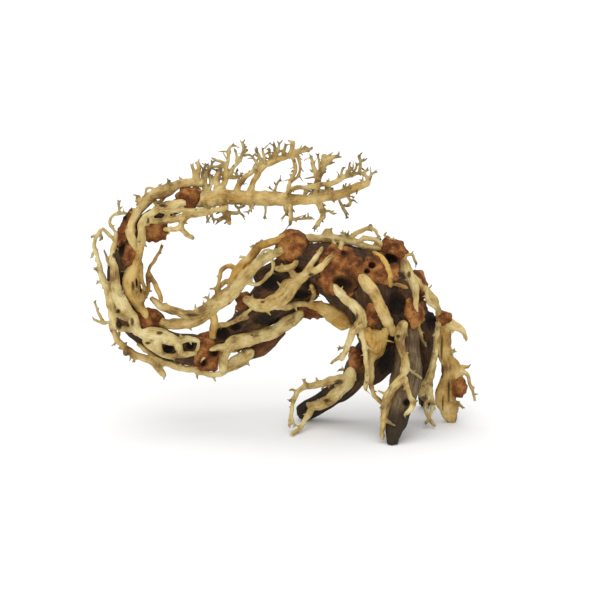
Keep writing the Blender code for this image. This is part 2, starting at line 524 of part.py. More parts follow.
PUTTY = {
    "putty_tail": lump(190, 199, 13, 10.5, 12, side=ROUND_IT),
    "putty_collar": lump(157, 231, 13, 11, 4.5, turn=-15),
    "putty_cheek": lump(127, 228, 7, 20, 4.5, turn=22),
    "putty_jaw": lump(131, 257, 7, 12, 4, turn=8),
    "putty_chin": lump(150, 319, 15, 10.5, 4.5),
    "putty_loop": lump(244, 303, 8, 11, 13, side=ROUND_IT),
    "putty_belly": lump(205, 353, 16, 19, 17, side=ROUND_IT),
    "putty_chest": lump(292, 248, 17, 17, 18, side=ROUND_IT),
    "putty_rib": lump(313, 312, 16, 7, 5),
    "putty_heart": lump(340, 273, 22, 22, 4.5),
    "putty_blade": lump(379, 270, 16, 15, 4.5),
    "putty_crest": lump(394, 251, 16, 10, 12, side=ROUND_IT, turn=42),
    "putty_flank": lump(420, 284, 7.5, 15, 12, side=ROUND_IT, turn=-12),
    "putty_hip": lump(415, 311, 12, 14, 5),
    "putty_haunch": lump(372, 314, 8, 12, 4),
    "putty_flag": lump(443, 318, 8, 8, 8, depth=80),
    "putty_knee": lump(356, 361, 8, 13, 4.5),
    "putty_heel": lump(461, 388, 8, 10, 5, depth=82),
    "putty_spine": lump(336, 270, 22, 18, 4.5, side=BACK),
    "putty_rump": lump(398, 296, 15, 18, 4.5, side=BACK),
    "putty_nape": lump(128, 292, 14, 18, 4.5, side=BACK),
}


def board_depth(y, depth):
    """The distance along the line of sight of a point at this depth, seen at this height."""
    return (depth - (FLOOR_Y - y) * math.sin(VIEW_LEAN)) / math.cos(VIEW_LEAN)


def stand(point):
    """A point of the drawing, with its distance along the line of sight, in the part's own frame."""
    rise = FLOOR_Y - point.y
    depth = rise * math.sin(VIEW_LEAN) + point.z * math.cos(VIEW_LEAN)
    height = rise * math.cos(VIEW_LEAN) - point.z * math.sin(VIEW_LEAN)
    return Vector((point.x - MIDDLE_X, depth - MIDDLE_DEPTH, height)) * METRES


def limb_points(limb):
    return [(Vector((x, y, board_depth(y, depth))), radius) for x, y, depth, radius in limb]


def wood_stretches():
    """Every straight stretch of every piece of wood, as its two ends with their radii."""
    stretches = []
    for limbs in WOOD.values():
        for limb in limbs:
            ends = limb_points(limb)
            stretches += [(*a, *b) for a, b in zip(ends, ends[1:])]
    return stretches


STRETCHES = wood_stretches()


def wood_surface(x, y, side):
    """The distance along the line of sight of the wood's front or back face at this place."""
    found = []
    nearest = (math.inf, 0.0)
    for start, start_radius, end, end_radius in STRETCHES:
        run = (end - start).xy
        along = (Vector((x, y)) - start.xy).dot(run) / run.length_squared
        along = min(max(along, 0.0), 1.0)
        middle = start.lerp(end, along)
        radius = start_radius + (end_radius - start_radius) * along
        off = (Vector((x, y)) - middle.xy).length
        if off < radius:
            found.append(middle.z + side * math.sqrt(radius * radius - off * off))
        nearest = min(nearest, (off - radius, middle.z))
    if not found:
        return nearest[1]
    return max(found) if side > 0 else min(found)


def fine_curve(points):
    """Points close together on a smooth curve through the given ones."""
    padded = [points[0] * 2 - points[1], *points, points[-1] * 2 - points[-2]]
    curve = []
    for before, start, end, after in zip(padded, padded[1:], padded[2:], padded[3:]):
        for step in range(CURVE_STEPS):
            t = step / CURVE_STEPS
            curve.append(0.5 * (2 * start + (end - before) * t
                                + (2 * before - 5 * start + 4 * end - after) * t * t
                                + (3 * start - before - 3 * end + after) * t ** 3))
    curve.append(points[-1].copy())
    return curve


def shares_along(curve):
    """How far along a curve each of its points lies, from 0 to 1."""
    lengths = [0.0]
    for a, b in zip(curve, curve[1:]):
        lengths.append(lengths[-1] + (b - a).length)
    return [length / lengths[-1] for length in lengths]


def smooth_curve(points, spacing):
    """Evenly spaced points, about this far apart, on a smooth curve through the given ones."""
    fine = fine_curve(points)
    shares = shares_along(fine)
    length = sum((b - a).length for a, b in zip(fine, fine[1:]))
    steps = max(1, round(length / spacing))
    curve = [fine[0]]
    for step in range(1, steps):
        share = step / steps
        index = max(place for place, reached in enumerate(shares) if reached <= share)
        part = (share - shares[index]) / (shares[index + 1] - shares[index])
        curve.append(fine[index].lerp(fine[index + 1], part))
    curve.append(fine[-1])
    return curve


def spread(values, share):
    """The value at this share of the way along evenly spaced ones."""
    place = share * (len(values) - 1)
    index = min(int(place), len(values) - 2)
    return values[index] + (values[index + 1] - values[index]) * (place - index)


def evened(values):
    """The same numbers with their jumps smoothed out, and the ends kept."""
    for _ in range(SMOOTHING_PASSES):
        middle = [(a + 2 * b + c) / 4 for a, b, c in zip(values, values[1:], values[2:])]
        values = [values[0], *middle, values[-1]]
    return values


def nearest_place(strands, point):
    """The point on the middle line of these strands that lies nearest in the drawing."""
    found = []
    for path, _, _ in strands:
        for start, end in zip(path, path[1:]):
            run = (end - start).xy
            along = (point.xy - start.xy).dot(run) / max(run.length_squared, SHORTEST_RUN ** 2)
            place = start.lerp(end, min(max(along, 0.0), 1.0))
            found.append(((place.xy - point.xy).length, place))
    return min(found, key=lambda pair: pair[0])[1]


def half_thickness(strand, radius):
    """How far a strand of this radius reaches along the line of sight: wide ones are flatter."""
    share = LAID_FLATNESS if strand["kind"] == "laid" else FREE_FLATNESS
    return min(radius, FLAT_FROM + (radius - FLAT_FROM) * share)


def strand_depths(strand, curve, shares, thicks, strands, draw):
    """The distance along the line of sight at each point of a strand."""
    if strand["kind"] == "laid":
        side = strand["side"]
        face = evened([wood_surface(point.x, point.y, side) for point in curve])
        return [w + side * strand["lift"] * thick for w, thick in zip(face, thicks)]
    if strand["kind"] == "span":
        return [board_depth(point.y, spread(strand["depths"], share))
                for point, share in zip(curve, shares)]
    foot = nearest_place(strands, curve[0]).z
    if strand["kind"] == "bridge":
        tip = nearest_place(strands, curve[-1]).z
        bow = strand["lean"]
        return [foot + (tip - foot) * share + bow * math.sin(math.pi * share) for share in shares]
    lean = strand["lean"]
    if lean is None:
        lean = draw.uniform(-TWIG_SPLAY, TWIG_SPLAY) * (curve[-1] - curve[0]).length
    return [foot + lean * share for share in shares]


def rooted(points, strands, both_ends):
    """The strand's points with its end, or both ends, moved on to the strands it grows from."""
    points = list(points)
    first = nearest_place(strands, points[0])
    points[0] = Vector((first.x, first.y, 0))
    if both_ends:
        last = nearest_place(strands, points[-1])
        points[-1] = Vector((last.x, last.y, 0))
    return points


def strand_paths(name, node):
    """Each strand of a node as its path in the drawing's own space, its radii and its thickness."""
    strands = []
    for index, strand in enumerate(node):
        draw = random.Random(f"{name} {index}")
        points = [Vector((x, y, 0)) for x, y in strand["points"]]
        if strand["kind"] in ("twig", "bridge"):
            points = rooted(points, strands, strand["kind"] == "bridge")
        widest = max(strand["widths"])
        curve = smooth_curve(points, RING_SPACING if widest > THICK_STRAND else TWIG_SPACING)
        shares = shares_along(curve)
        radii = [max(spread(strand["widths"], share), THINNEST_TWIG) / 2 for share in shares]
        thicks = [half_thickness(strand, radius) for radius in radii]
        depths = strand_depths(strand, curve, shares, thicks, strands, draw)
        path = [Vector((point.x, point.y, w)) for point, w in zip(curve, depths)]
        uneven = [radius * (1 + draw.uniform(-ROOT_ROUGHNESS, ROOT_ROUGHNESS)) for radius in radii]
        strands.append((path, uneven, thicks))
    return strands


def sides_for(radius):
    return next(sides for least, sides in SIDES_OVER if radius > least)


def frames_along(path):
    """For each point of a path its along, across and up directions, turned as little as can be."""
    frames = []
    across = (path[1] - path[0]).orthogonal()
    for before, after in zip([path[0], *path], [*path[1:], path[-1]]):
        along = (after - before).normalized()
        across = (across - along * across.dot(along)).normalized()
        frames.append((along, across, along.cross(across)))
    return frames


def tube(path, radii, sides, thicks=None, rough=0.0, draw=None):
    """A closed tube of rings round a path, squeezed to its thickness along the line of sight."""
    mesh = bmesh.new()
    rings = []
    for index, (along, across, up) in enumerate(frames_along(path)):
        sight = Vector((0, 0, 1)) - along * along.z
        squeeze = 0.0
        if thicks and sight.length > LEAST_SIGHT:
            sight.normalize()
            squeeze = 1 - min(1.0, thicks[index] / radii[index])
        ring = []
        for side in range(sides):
            angle = 2 * math.pi * side / sides
            reach = radii[index] * (1 + (draw.uniform(0, rough) if draw else 0))
            spoke = across * math.cos(angle) + up * math.sin(angle)
            spoke -= sight * (spoke.dot(sight) * squeeze)
            ring.append(mesh.verts.new(stand(path[index] + spoke * reach)))
        rings.append(ring)
    for near, far in zip(rings, rings[1:]):
        for side in range(sides):
            other = (side + 1) % sides
            mesh.faces.new((near[side], near[other], far[other], far[side]))
    mesh.faces.new(reversed(rings[0]))
    mesh.faces.new(rings[-1])
    bmesh.ops.recalc_face_normals(mesh, faces=mesh.faces)
    return mesh


def domed_ends(path, radii):
    """The path with two smaller rings past each end, so that a thick limb ends round."""
    first = (path[0] - path[1]).normalized() * radii[0]
    last = (path[-1] - path[-2]).normalized() * radii[-1]
    before = [path[0] + first * out for out, _ in DOME_RINGS]
    after = [path[-1] + last * out for out, _ in reversed(DOME_RINGS)]
    start_radii = [radii[0] * width for _, width in DOME_RINGS]
    end_radii = [radii[-1] * width for _, width in reversed(DOME_RINGS)]
    return [*before, *path, *after], [*start_radii, *radii, *end_radii]


def new_object(name, mesh):
    data = bpy.data.meshes.new(name)
    bmesh.ops.triangulate(mesh, faces=mesh.faces)
    mesh.to_mesh(data)
    mesh.free()
    obj = bpy.data.objects.new(name, data)
    bpy.context.collection.objects.link(obj)
    return obj


def root_solids(name, node, grow=0.0):
    """One tube for each strand, grown by the bed gap where it is to cut its own bed."""
    solids = []
    for path, radii, thicks in strand_paths(name, node):
        sides = sides_for(max(radii))
        if grow:
            path = [path[0] + (path[0] - path[1]).normalized() * grow, *path[1:-1],
                    path[-1] + (path[-1] - path[-2]).normalized() * grow]
            radii = [radius + grow for radius in radii]
            thicks = [thick + grow for thick in thicks]
        solids.append(new_object(name, tube(path, radii, sides, thicks)))
    return solids


def wood_solids(name, limbs, grow=0.0):
    """One rough, round-ended tube for each limb of a piece of wood."""
    draw = random.Random(name)
    solids = []
    for limb in limbs:
        ends = limb_points(limb)
        curve = smooth_curve([point for point, _ in ends], CORE_SPACING)
        radii = [spread([radius for _, radius in ends], share) + grow
                 for share in shares_along(curve)]
        curve, radii = domed_ends(curve, radii)
        limb_mesh = tube(curve, radii, CORE_SIDES, rough=CORE_ROUGHNESS, draw=draw)
        solids.append(new_object(name, limb_mesh))
    return solids


def putty_middle(x, y, shape):
    """The distance along the line of sight of the middle of the putty at this place."""
    if shape["depth"] is not None:
        return board_depth(y, shape["depth"])
    if shape["side"] == ROUND_IT:
        return wood_surface(*shape["place"], ROUND_IT)
    steps = ((0, 0), (PUTTY_BRIDGE, 0), (-PUTTY_BRIDGE, 0), (0, PUTTY_BRIDGE), (0, -PUTTY_BRIDGE))
    return sum(wood_surface(x + right, y + down, shape["side"]) for right, down in steps) / len(steps)


def putty_solid(name, shape):
    """A rough lump of putty, bent to the wood that it was pressed on."""
    place = Vector(shape["place"])
    half_width, half_height, half_thick = shape["reach"]
    draw = random.Random(name)
    mesh = bmesh.new()
    bmesh.ops.create_uvsphere(mesh, u_segments=PUTTY_SIDES, v_segments=PUTTY_RINGS, radius=1.0)
    for vertex in mesh.verts:
        uneven = vertex.co * draw.uniform(*PUTTY_ROUGHNESS)
        flat = Vector((uneven.x * half_width, uneven.y * half_height))
        x, y = place + Matrix.Rotation(shape["turn"], 2) @ flat
        vertex.co = stand(Vector((x, y, putty_middle(x, y, shape) + uneven.z * half_thick)))
    return new_object(name, mesh)


def boxes_meet(first, second):
    """Whether the boxes round two meshes overlap."""
    for axis in range(3):
        one = [vertex.co[axis] for vertex in first.data.vertices]
        other = [vertex.co[axis] for vertex in second.data.vertices]
        if max(one) < min(other) or max(other) < min(one):
            return False
    return True


def combine(obj, others, operation):
    """One Boolean of an object with several others, applied, with the others then removed."""
    group = bpy.data.collections.new("operands")
    for other in others:
        group.objects.link(other)
    modifier = obj.modifiers.new("combine", "BOOLEAN")
    modifier.operation = operation
    modifier.solver = "MANIFOLD"
    modifier.operand_type = "COLLECTION"
    modifier.collection = group
    bpy.context.view_layer.update()
    result = bpy.data.meshes.new_from_object(obj.evaluated_get(bpy.context.evaluated_depsgraph_get()))
    obj.modifiers.clear()
    obj.data = result
    bpy.data.collections.remove(group)
    for other in others:
        bpy.data.objects.remove(other)


def bodies_of(mesh):
    """The sets of faces that hang together."""
    left = set(mesh.faces)
    bodies = []
    while left:
        body = {left.pop()}
        rim = list(body)
        while rim:
            near = {face for edge in rim.pop().edges for face in edge.link_faces} - body
            body |= near
            rim += near
        left -= body
        bodies.append(body)
    return bodies


def signed_volume(faces):
    """The volume inside triangles, which is negative for the wall of a hollow."""
    total = 0.0
    for face in faces:
        first, second, third = (vertex.co for vertex in face.verts)
        total += first.dot(second.cross(third)) / 6
    return total


def keep_largest_body(obj):
    """Drops the loose scraps and fills the sealed hollows that a Boolean leaves."""
    mesh = bmesh.new()
    mesh.from_mesh(obj.data)
    bmesh.ops.triangulate(mesh, faces=mesh.faces)
    bodies = bodies_of(mesh)
    largest = max(bodies, key=signed_volume)
    scraps = [face for face in mesh.faces if face not in largest]
    bmesh.ops.delete(mesh, geom=scraps, context="FACES")
    mesh.to_mesh(obj.data)
    mesh.free()


def cut_beds(obj, cutters):
    """Cuts the object clear of every cutter that may meet it, and removes the cutters."""
    meeting = [cutter for cutter in cutters if boxes_meet(obj, cutter)]
    for cutter in set(cutters) - set(meeting):
        bpy.data.objects.remove(cutter)
    if meeting:
        combine(obj, meeting, "DIFFERENCE")
        keep_largest_body(obj)


def cut_soles(obj):
    """Cuts what reaches below the floor off flat."""
    if min(vertex.co.z for vertex in obj.data.vertices) >= 0:
        return
    mesh = bmesh.new()
    bmesh.ops.create_cube(mesh, size=1.0)
    for vertex in mesh.verts:
        vertex.co = Vector((vertex.co.x, vertex.co.y, (vertex.co.z - 0.5) * FLOOR_SLAB))
    combine(obj, [new_object("floor", mesh)], "DIFFERENCE")
    keep_largest_body(obj)


def fused(name, solids):
    """The first solid with the rest joined on to it."""
    whole, *rest = solids
    if rest:
        combine(whole, rest, "UNION")
        keep_largest_body(whole)
    whole.name = name
    return whole


def material(name):
    """A plain finish for the solids."""
    found = bpy.data.materials.get(name)
    if found:
        return found
    colour, roughness = MATERIALS[name]
    made = bpy.data.materials.new(name)
    made.use_nodes = True
    shader = made.node_tree.nodes["Principled BSDF"]
    shader.inputs["Base Color"].default_value = (*colour, 1)
    shader.inputs["Roughness"].default_value = roughness
    return made


def finish(obj, material_name):
    obj.data.materials.clear()
    obj.data.materials.append(material(material_name))
    obj.data.shade_flat()


def build_roots():
    """The roots, each cut clear of those laid before it."""
    names = list(ROOTS)
    for index, name in enumerate(names):
        material_name, node = ROOTS[name]
        root = fused(name, root_solids(name, node))
        earlier = []
        for other in names[:index]:
            earlier += root_solids(other, ROOTS[other][1], BED_GAP)
        cut_beds(root, earlier)
        cut_soles(root)
        finish(root, material_name)


def build_wood():
    """The pieces of wood, each cut clear of the roots that lie on it and of the wood before it."""
    names = list(WOOD)
    for index, name in enumerate(names):
        wood = fused(name, wood_solids(name, WOOD[name]))
        beds = []
        for root, (_, node) in ROOTS.items():
            beds += root_solids(root, node, BED_GAP)
        for other in names[:index]:
            beds += wood_solids(other, WOOD[other], BED_GAP)
        cut_beds(wood, beds)
        cut_soles(wood)
        finish(wood, "dark_wood")


def build_putty():
    """The lumps of putty, each cut clear of all that it was pressed on."""
    for name, shape in PUTTY.items():
        putty = putty_solid(name, shape)
        beds = []
        for root, (_, node) in ROOTS.items():
            beds += root_solids(root, node, BED_GAP)
        for wood, limbs in WOOD.items():
            beds += wood_solids(wood, limbs, BED_GAP)
        cut_beds(putty, beds)
        finish(putty, "putty")


def main():
    for obj in list(bpy.data.objects):
        bpy.data.objects.remove(obj)
    build_roots()
    build_wood()
    build_putty()


main()
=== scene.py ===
"""The looks of the dragon wood: fine roots, rough wood and crumbly putty for its plain solids.

Places are read from the same front drawing as the solids: x to the right, y down, and a depth, how
far behind the front of the feet a point stands, all in millimetres. The drawing plane leans back by
VIEW_LEAN. Meshes are made in millimetres and are turned into metres when they are finished.
"""

import itertools
import math
import random

import bmesh
import bpy
import numpy as np
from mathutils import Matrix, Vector
from mathutils.kdtree import KDTree


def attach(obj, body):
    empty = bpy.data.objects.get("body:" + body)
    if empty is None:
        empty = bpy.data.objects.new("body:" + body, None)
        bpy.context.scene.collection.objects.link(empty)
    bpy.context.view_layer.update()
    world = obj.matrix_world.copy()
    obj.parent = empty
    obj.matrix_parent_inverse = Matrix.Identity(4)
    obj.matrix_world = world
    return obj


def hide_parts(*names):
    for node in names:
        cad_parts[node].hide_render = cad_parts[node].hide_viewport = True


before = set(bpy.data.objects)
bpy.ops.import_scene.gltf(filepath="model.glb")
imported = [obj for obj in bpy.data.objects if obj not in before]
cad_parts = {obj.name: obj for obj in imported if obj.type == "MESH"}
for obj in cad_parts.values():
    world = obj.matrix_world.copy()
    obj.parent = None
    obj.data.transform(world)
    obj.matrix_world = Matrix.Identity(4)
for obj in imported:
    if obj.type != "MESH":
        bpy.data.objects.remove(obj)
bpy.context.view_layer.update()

METRES = 0.001
FULL_TURN = 2 * math.pi

# The front drawing: its middle, its floor line, the depth of its origin and its lean
MIDDLE_X = 284.0
FLOOR_Y = 444.0
MIDDLE_DEPTH = 74.0
VIEW_LEAN = math.radians(14.0)
LEAN_COS = math.cos(VIEW_LEAN)
LEAN_SIN = math.sin(VIEW_LEAN)
TOWARDS_BACK = np.array([0.0, LEAN_COS, -LEAN_SIN])
FRONT = -1.0
BACK = 1.0
ROUND_IT = 0.0

# How fine the meshes are, in millimetres
ROOT_VOXEL = 0.82
TAIL_VOXEL = 0.66
WOOD_VOXEL = 1.5
PUTTY_VOXEL = 1.1
ROOT_SMOOTHING = 2
WOOD_SMOOTHING = 3
PUTTY_SMOOTHING = 4
CURVE_STEPS = 8
BED_SPACING = 6.0
RING_SPACING = 1.6
WOOD_RING_SPACING = 3.0
ROOT_SIDES = 12
SPUR_SIDES = 7
WOOD_SIDES = 30

# How roots lie: their thickness, how far they stand out of the wood, and how flat wide ones are
THINNEST_TWIG = 2.2
ROOT_LIFT = 0.65
TWIG_SPLAY = 0.32
BED_SMOOTHING = 3
FLAT_FROM = 3.0
LAID_FLATNESS = 0.3
FREE_FLATNESS = 0.5

# How roots sway, swell and knot. A wave is (length, share)
SWAY_LEAST = 0.2
SWAY_MOST = 0.6
SWAY_PER_RADIUS = 0.16
SWAY_WAVES = ((4.2, 0.6), (1.9, 0.4))
HELD_RUN = 4
SLIM_RADIUS = 1.4
SLIM_LEAST = 0.15
SWELL_PHASE = 6
LONG_SWELL = (3.1, 0.09)
SHORT_SWELL = (1.3, 0.05)
FIRST_KNOT = (5, 15)
KNOT_GAP = (8, 22)
KNOT_RISE = (0.1, 0.4)
KNOT_LENGTH = (1.0, 1.8)
FLARE = 0.4
FLARE_RUN = 2.4
END_REACH = 5.0
END_LOSS = 0.45

# The thorns and side twigs, each a spur of four rings. Pairs are the least and the most
SPUR_STEPS = np.array([0.0, 0.35, 0.7, 1.0])
SPUR_FOOT = 1.15
SPUR_NECK = 0.85
SPUR_TIP = 0.6
SPUR_TIP_RADIUS = 0.62
SPUR_SHARE = 0.4
SPUR_RADII = (0.78, 1.5)
SPUR_VARIES = (0.85, 1.2)
SPUR_BEND = 0.35
SPUR_OUT = (-0.1, 0.5)
SPUR_ALONG = (0.1, 1.1)
FIRST_SPUR = (0.3, 1.0)
SPUR_GAP = (0.5, 1.5)
SPUR_GAP_PER_RADIUS = 0.12
FORK_ASIDE = (0.6, 1.2)
FORK_LENGTH = 0.55
FORK_RADIUS = 0.85
PRONG_COUNTS = (1, 2, 2, 3)
PRONG_TURN = 2.3
PRONG_ASIDE = (0.5, 1.1)
PRONG_BEND = 0.3
PRONG_LENGTH = (2.6, 5.2)
PRONG_RADIUS = 0.95
PRONGED_RADIUS = 1.9
DARK_REACH = (2.0, 6.5)
DARKNESS = (0.5, 1.0)
DARK_FADE = 0.6
LAST_RING = 0.75

# The skins: the painted shade where roots touch wood, the darker foot of the wood, and what counts
# as slim
BED_SHADE_REACH = 1.6
DARK_FOOT_HEIGHT = 36.0
DARK_FOOT_FADE = 8.0
SLIM_BELOW = 2.4
SLIM_FADE = 1.4

# How the skins learn which strand they belong to: the rings that compete for a point, how far
# apart the grain of two strands lies, and how often each value is averaged with its neighbours
NEAR_RINGS = 4
GRAIN_SHIFT = 37.0
SPREAD_PASSES = {"tip": 2, "tone": 6, "hue": 8, "slim": 4}

# Hollows: which points face the front, how round the hollows are, and how fast their painted shade
# darkens
FACING_FRONT = 0.35
PIT_ROUNDNESS = 0.8
PIT_SHADE = 0.5

# The round ends of the wood, as shares of its radius
CAP_STEPS = (0.8, 0.5, 0.25)
CAP_RADII = np.array([0.5, 0.82, 0.95])

# The relief of the skins: the size of its features and their height, in millimetres. Some of it
# grows with the radius of the strand, between the least and the most given, by a share of it
FLUTE_SIZE = (2.2, 2.2, 16)
FLUTE_RADII = (0.8, 3)
FLUTE_SHARE = 0.1
LUMP_SIZE = 3.5
LUMP_HEIGHT = 0.18
BULGE_SIZE = 9
BULGE_RADII = (1, 5)
BULGE_SHARE = 0.07
WOOD_BULGE_SIZE = 17
WOOD_BULGE_RADII = (4, 20)
WOOD_BULGE_SHARE = 0.07
DENT_SIZE = 7
DENT_SHIFT = 50
DENT_HEIGHT = 0.8
WOOD_SHRINK = 1.2
FURROW_SIZE = (4.0, 4.0, 34)
FURROW_DEPTH = 1.5
FIBRE_SIZE = (1.9, 1.9, 14)
FIBRE_HEIGHT = 0.35
CRUMBS = ((2.1, 0, 0.3), (4.7, 9, 0.45), (11, 0, 0.9))

# Each core piece of wood is one or more limbs, given as (x, y, depth, radius) along its middle.
WOOD = {
    "wood_hump": (
        ((300, 258, 80, 17), (328, 268, 80, 28.5), (356, 281, 80, 33), (382, 294, 80, 35),
         (399, 316, 80, 26)),
        ((366, 300, 68, 24), (372, 328, 67, 20), (377, 348, 70, 14)),
        ((350, 272, 80, 24), (372, 271, 80, 22), (388, 269, 80, 18)),
        ((338, 286, 82, 20), (352, 300, 82, 18)),
    ),
    "wood_belly": (
        ((213, 342, 88, 11), (228, 333, 88, 13), (245, 324, 87, 15), (262, 307, 86, 20),
         (278, 291, 84, 21), (297, 278, 82, 20)),
        ((252, 326, 92, 8), (270, 317, 92, 9), (288, 307, 90, 10), (302, 296, 87, 11),
         (312, 291, 84, 11)),
        ((264, 279, 85, 13), (278, 272, 85, 14), (292, 264, 82, 15)),
    ),
    "wood_bend": (
        ((190, 202, 86, 8), (178, 207, 87, 9), (165, 214, 88, 9), (152, 219, 88, 10),
         (141, 230, 88, 11), (132, 245, 88, 13), (123, 263, 88, 16), (121, 283, 88, 15),
         (123, 303, 88, 15), (130, 319, 88, 15), (148, 335, 88, 15), (170, 346, 88, 16),
         (190, 350, 88, 17), (205, 352, 88, 15)),
    ),
    "wood_stub": (((244, 356, 90, 7), (260, 349, 88, 10), (273, 341, 87, 7), (284, 333, 86, 4)),),
    "leg_front": (
        ((406, 326, 72, 13), (407, 350, 62, 14), (405, 374, 50, 17), (402, 392, 40, 16),
         (398, 408, 30, 13), (395, 421, 22, 12), (391, 434, 13, 9), (391, 441, 9, 7)),
    ),
    "leg_left": (
        ((382, 338, 82, 16), (364, 362, 84, 17), (350, 384, 85, 13), (330, 398, 88, 12),
         (305, 414, 91, 11)),
        ((392, 344, 86, 13), (384, 364, 87, 13), (370, 378, 87, 11)),
    ),
    "leg_right": (
        ((424, 320, 88, 14), (426, 345, 96, 10), (428, 368, 109, 9), (429, 388, 124, 9),
         (429, 405, 138, 8)),
    ),
    "leg_middle": (((410, 332, 92, 12), (414, 352, 94, 10), (413, 375, 97, 9), (411, 396, 97, 7)),),
}


def laid(side, points, *widths, lift=ROOT_LIFT):
    """A root bedded on one side of the wood, with its widths from its first end to its last."""
    return {"kind": "laid", "side": side, "points": points, "widths": widths, "lift": lift}


def front(points, *widths, lift=ROOT_LIFT):
    return laid(FRONT, points, *widths, lift=lift)


def back(points, *widths, lift=ROOT_LIFT):
    return laid(BACK, points, *widths, lift=lift)


def span(points, *widths, depths):
    """A root that stands clear of the wood, with its depths at even steps along it."""
    return {"kind": "span", "points": points, "widths": widths, "depths": depths}


def twig(points, *widths, lean=None):
    """A twig that grows from the strands before it; its tip is lean further back."""
    return {"kind": "twig", "points": points, "widths": widths, "lean": lean}


def bridge(points, *widths, lean=0.0):
    """A strand that grows from the strands before it and back into them, bowed back by lean."""
    return {"kind": "bridge", "points": points, "widths": widths, "lean": lean}


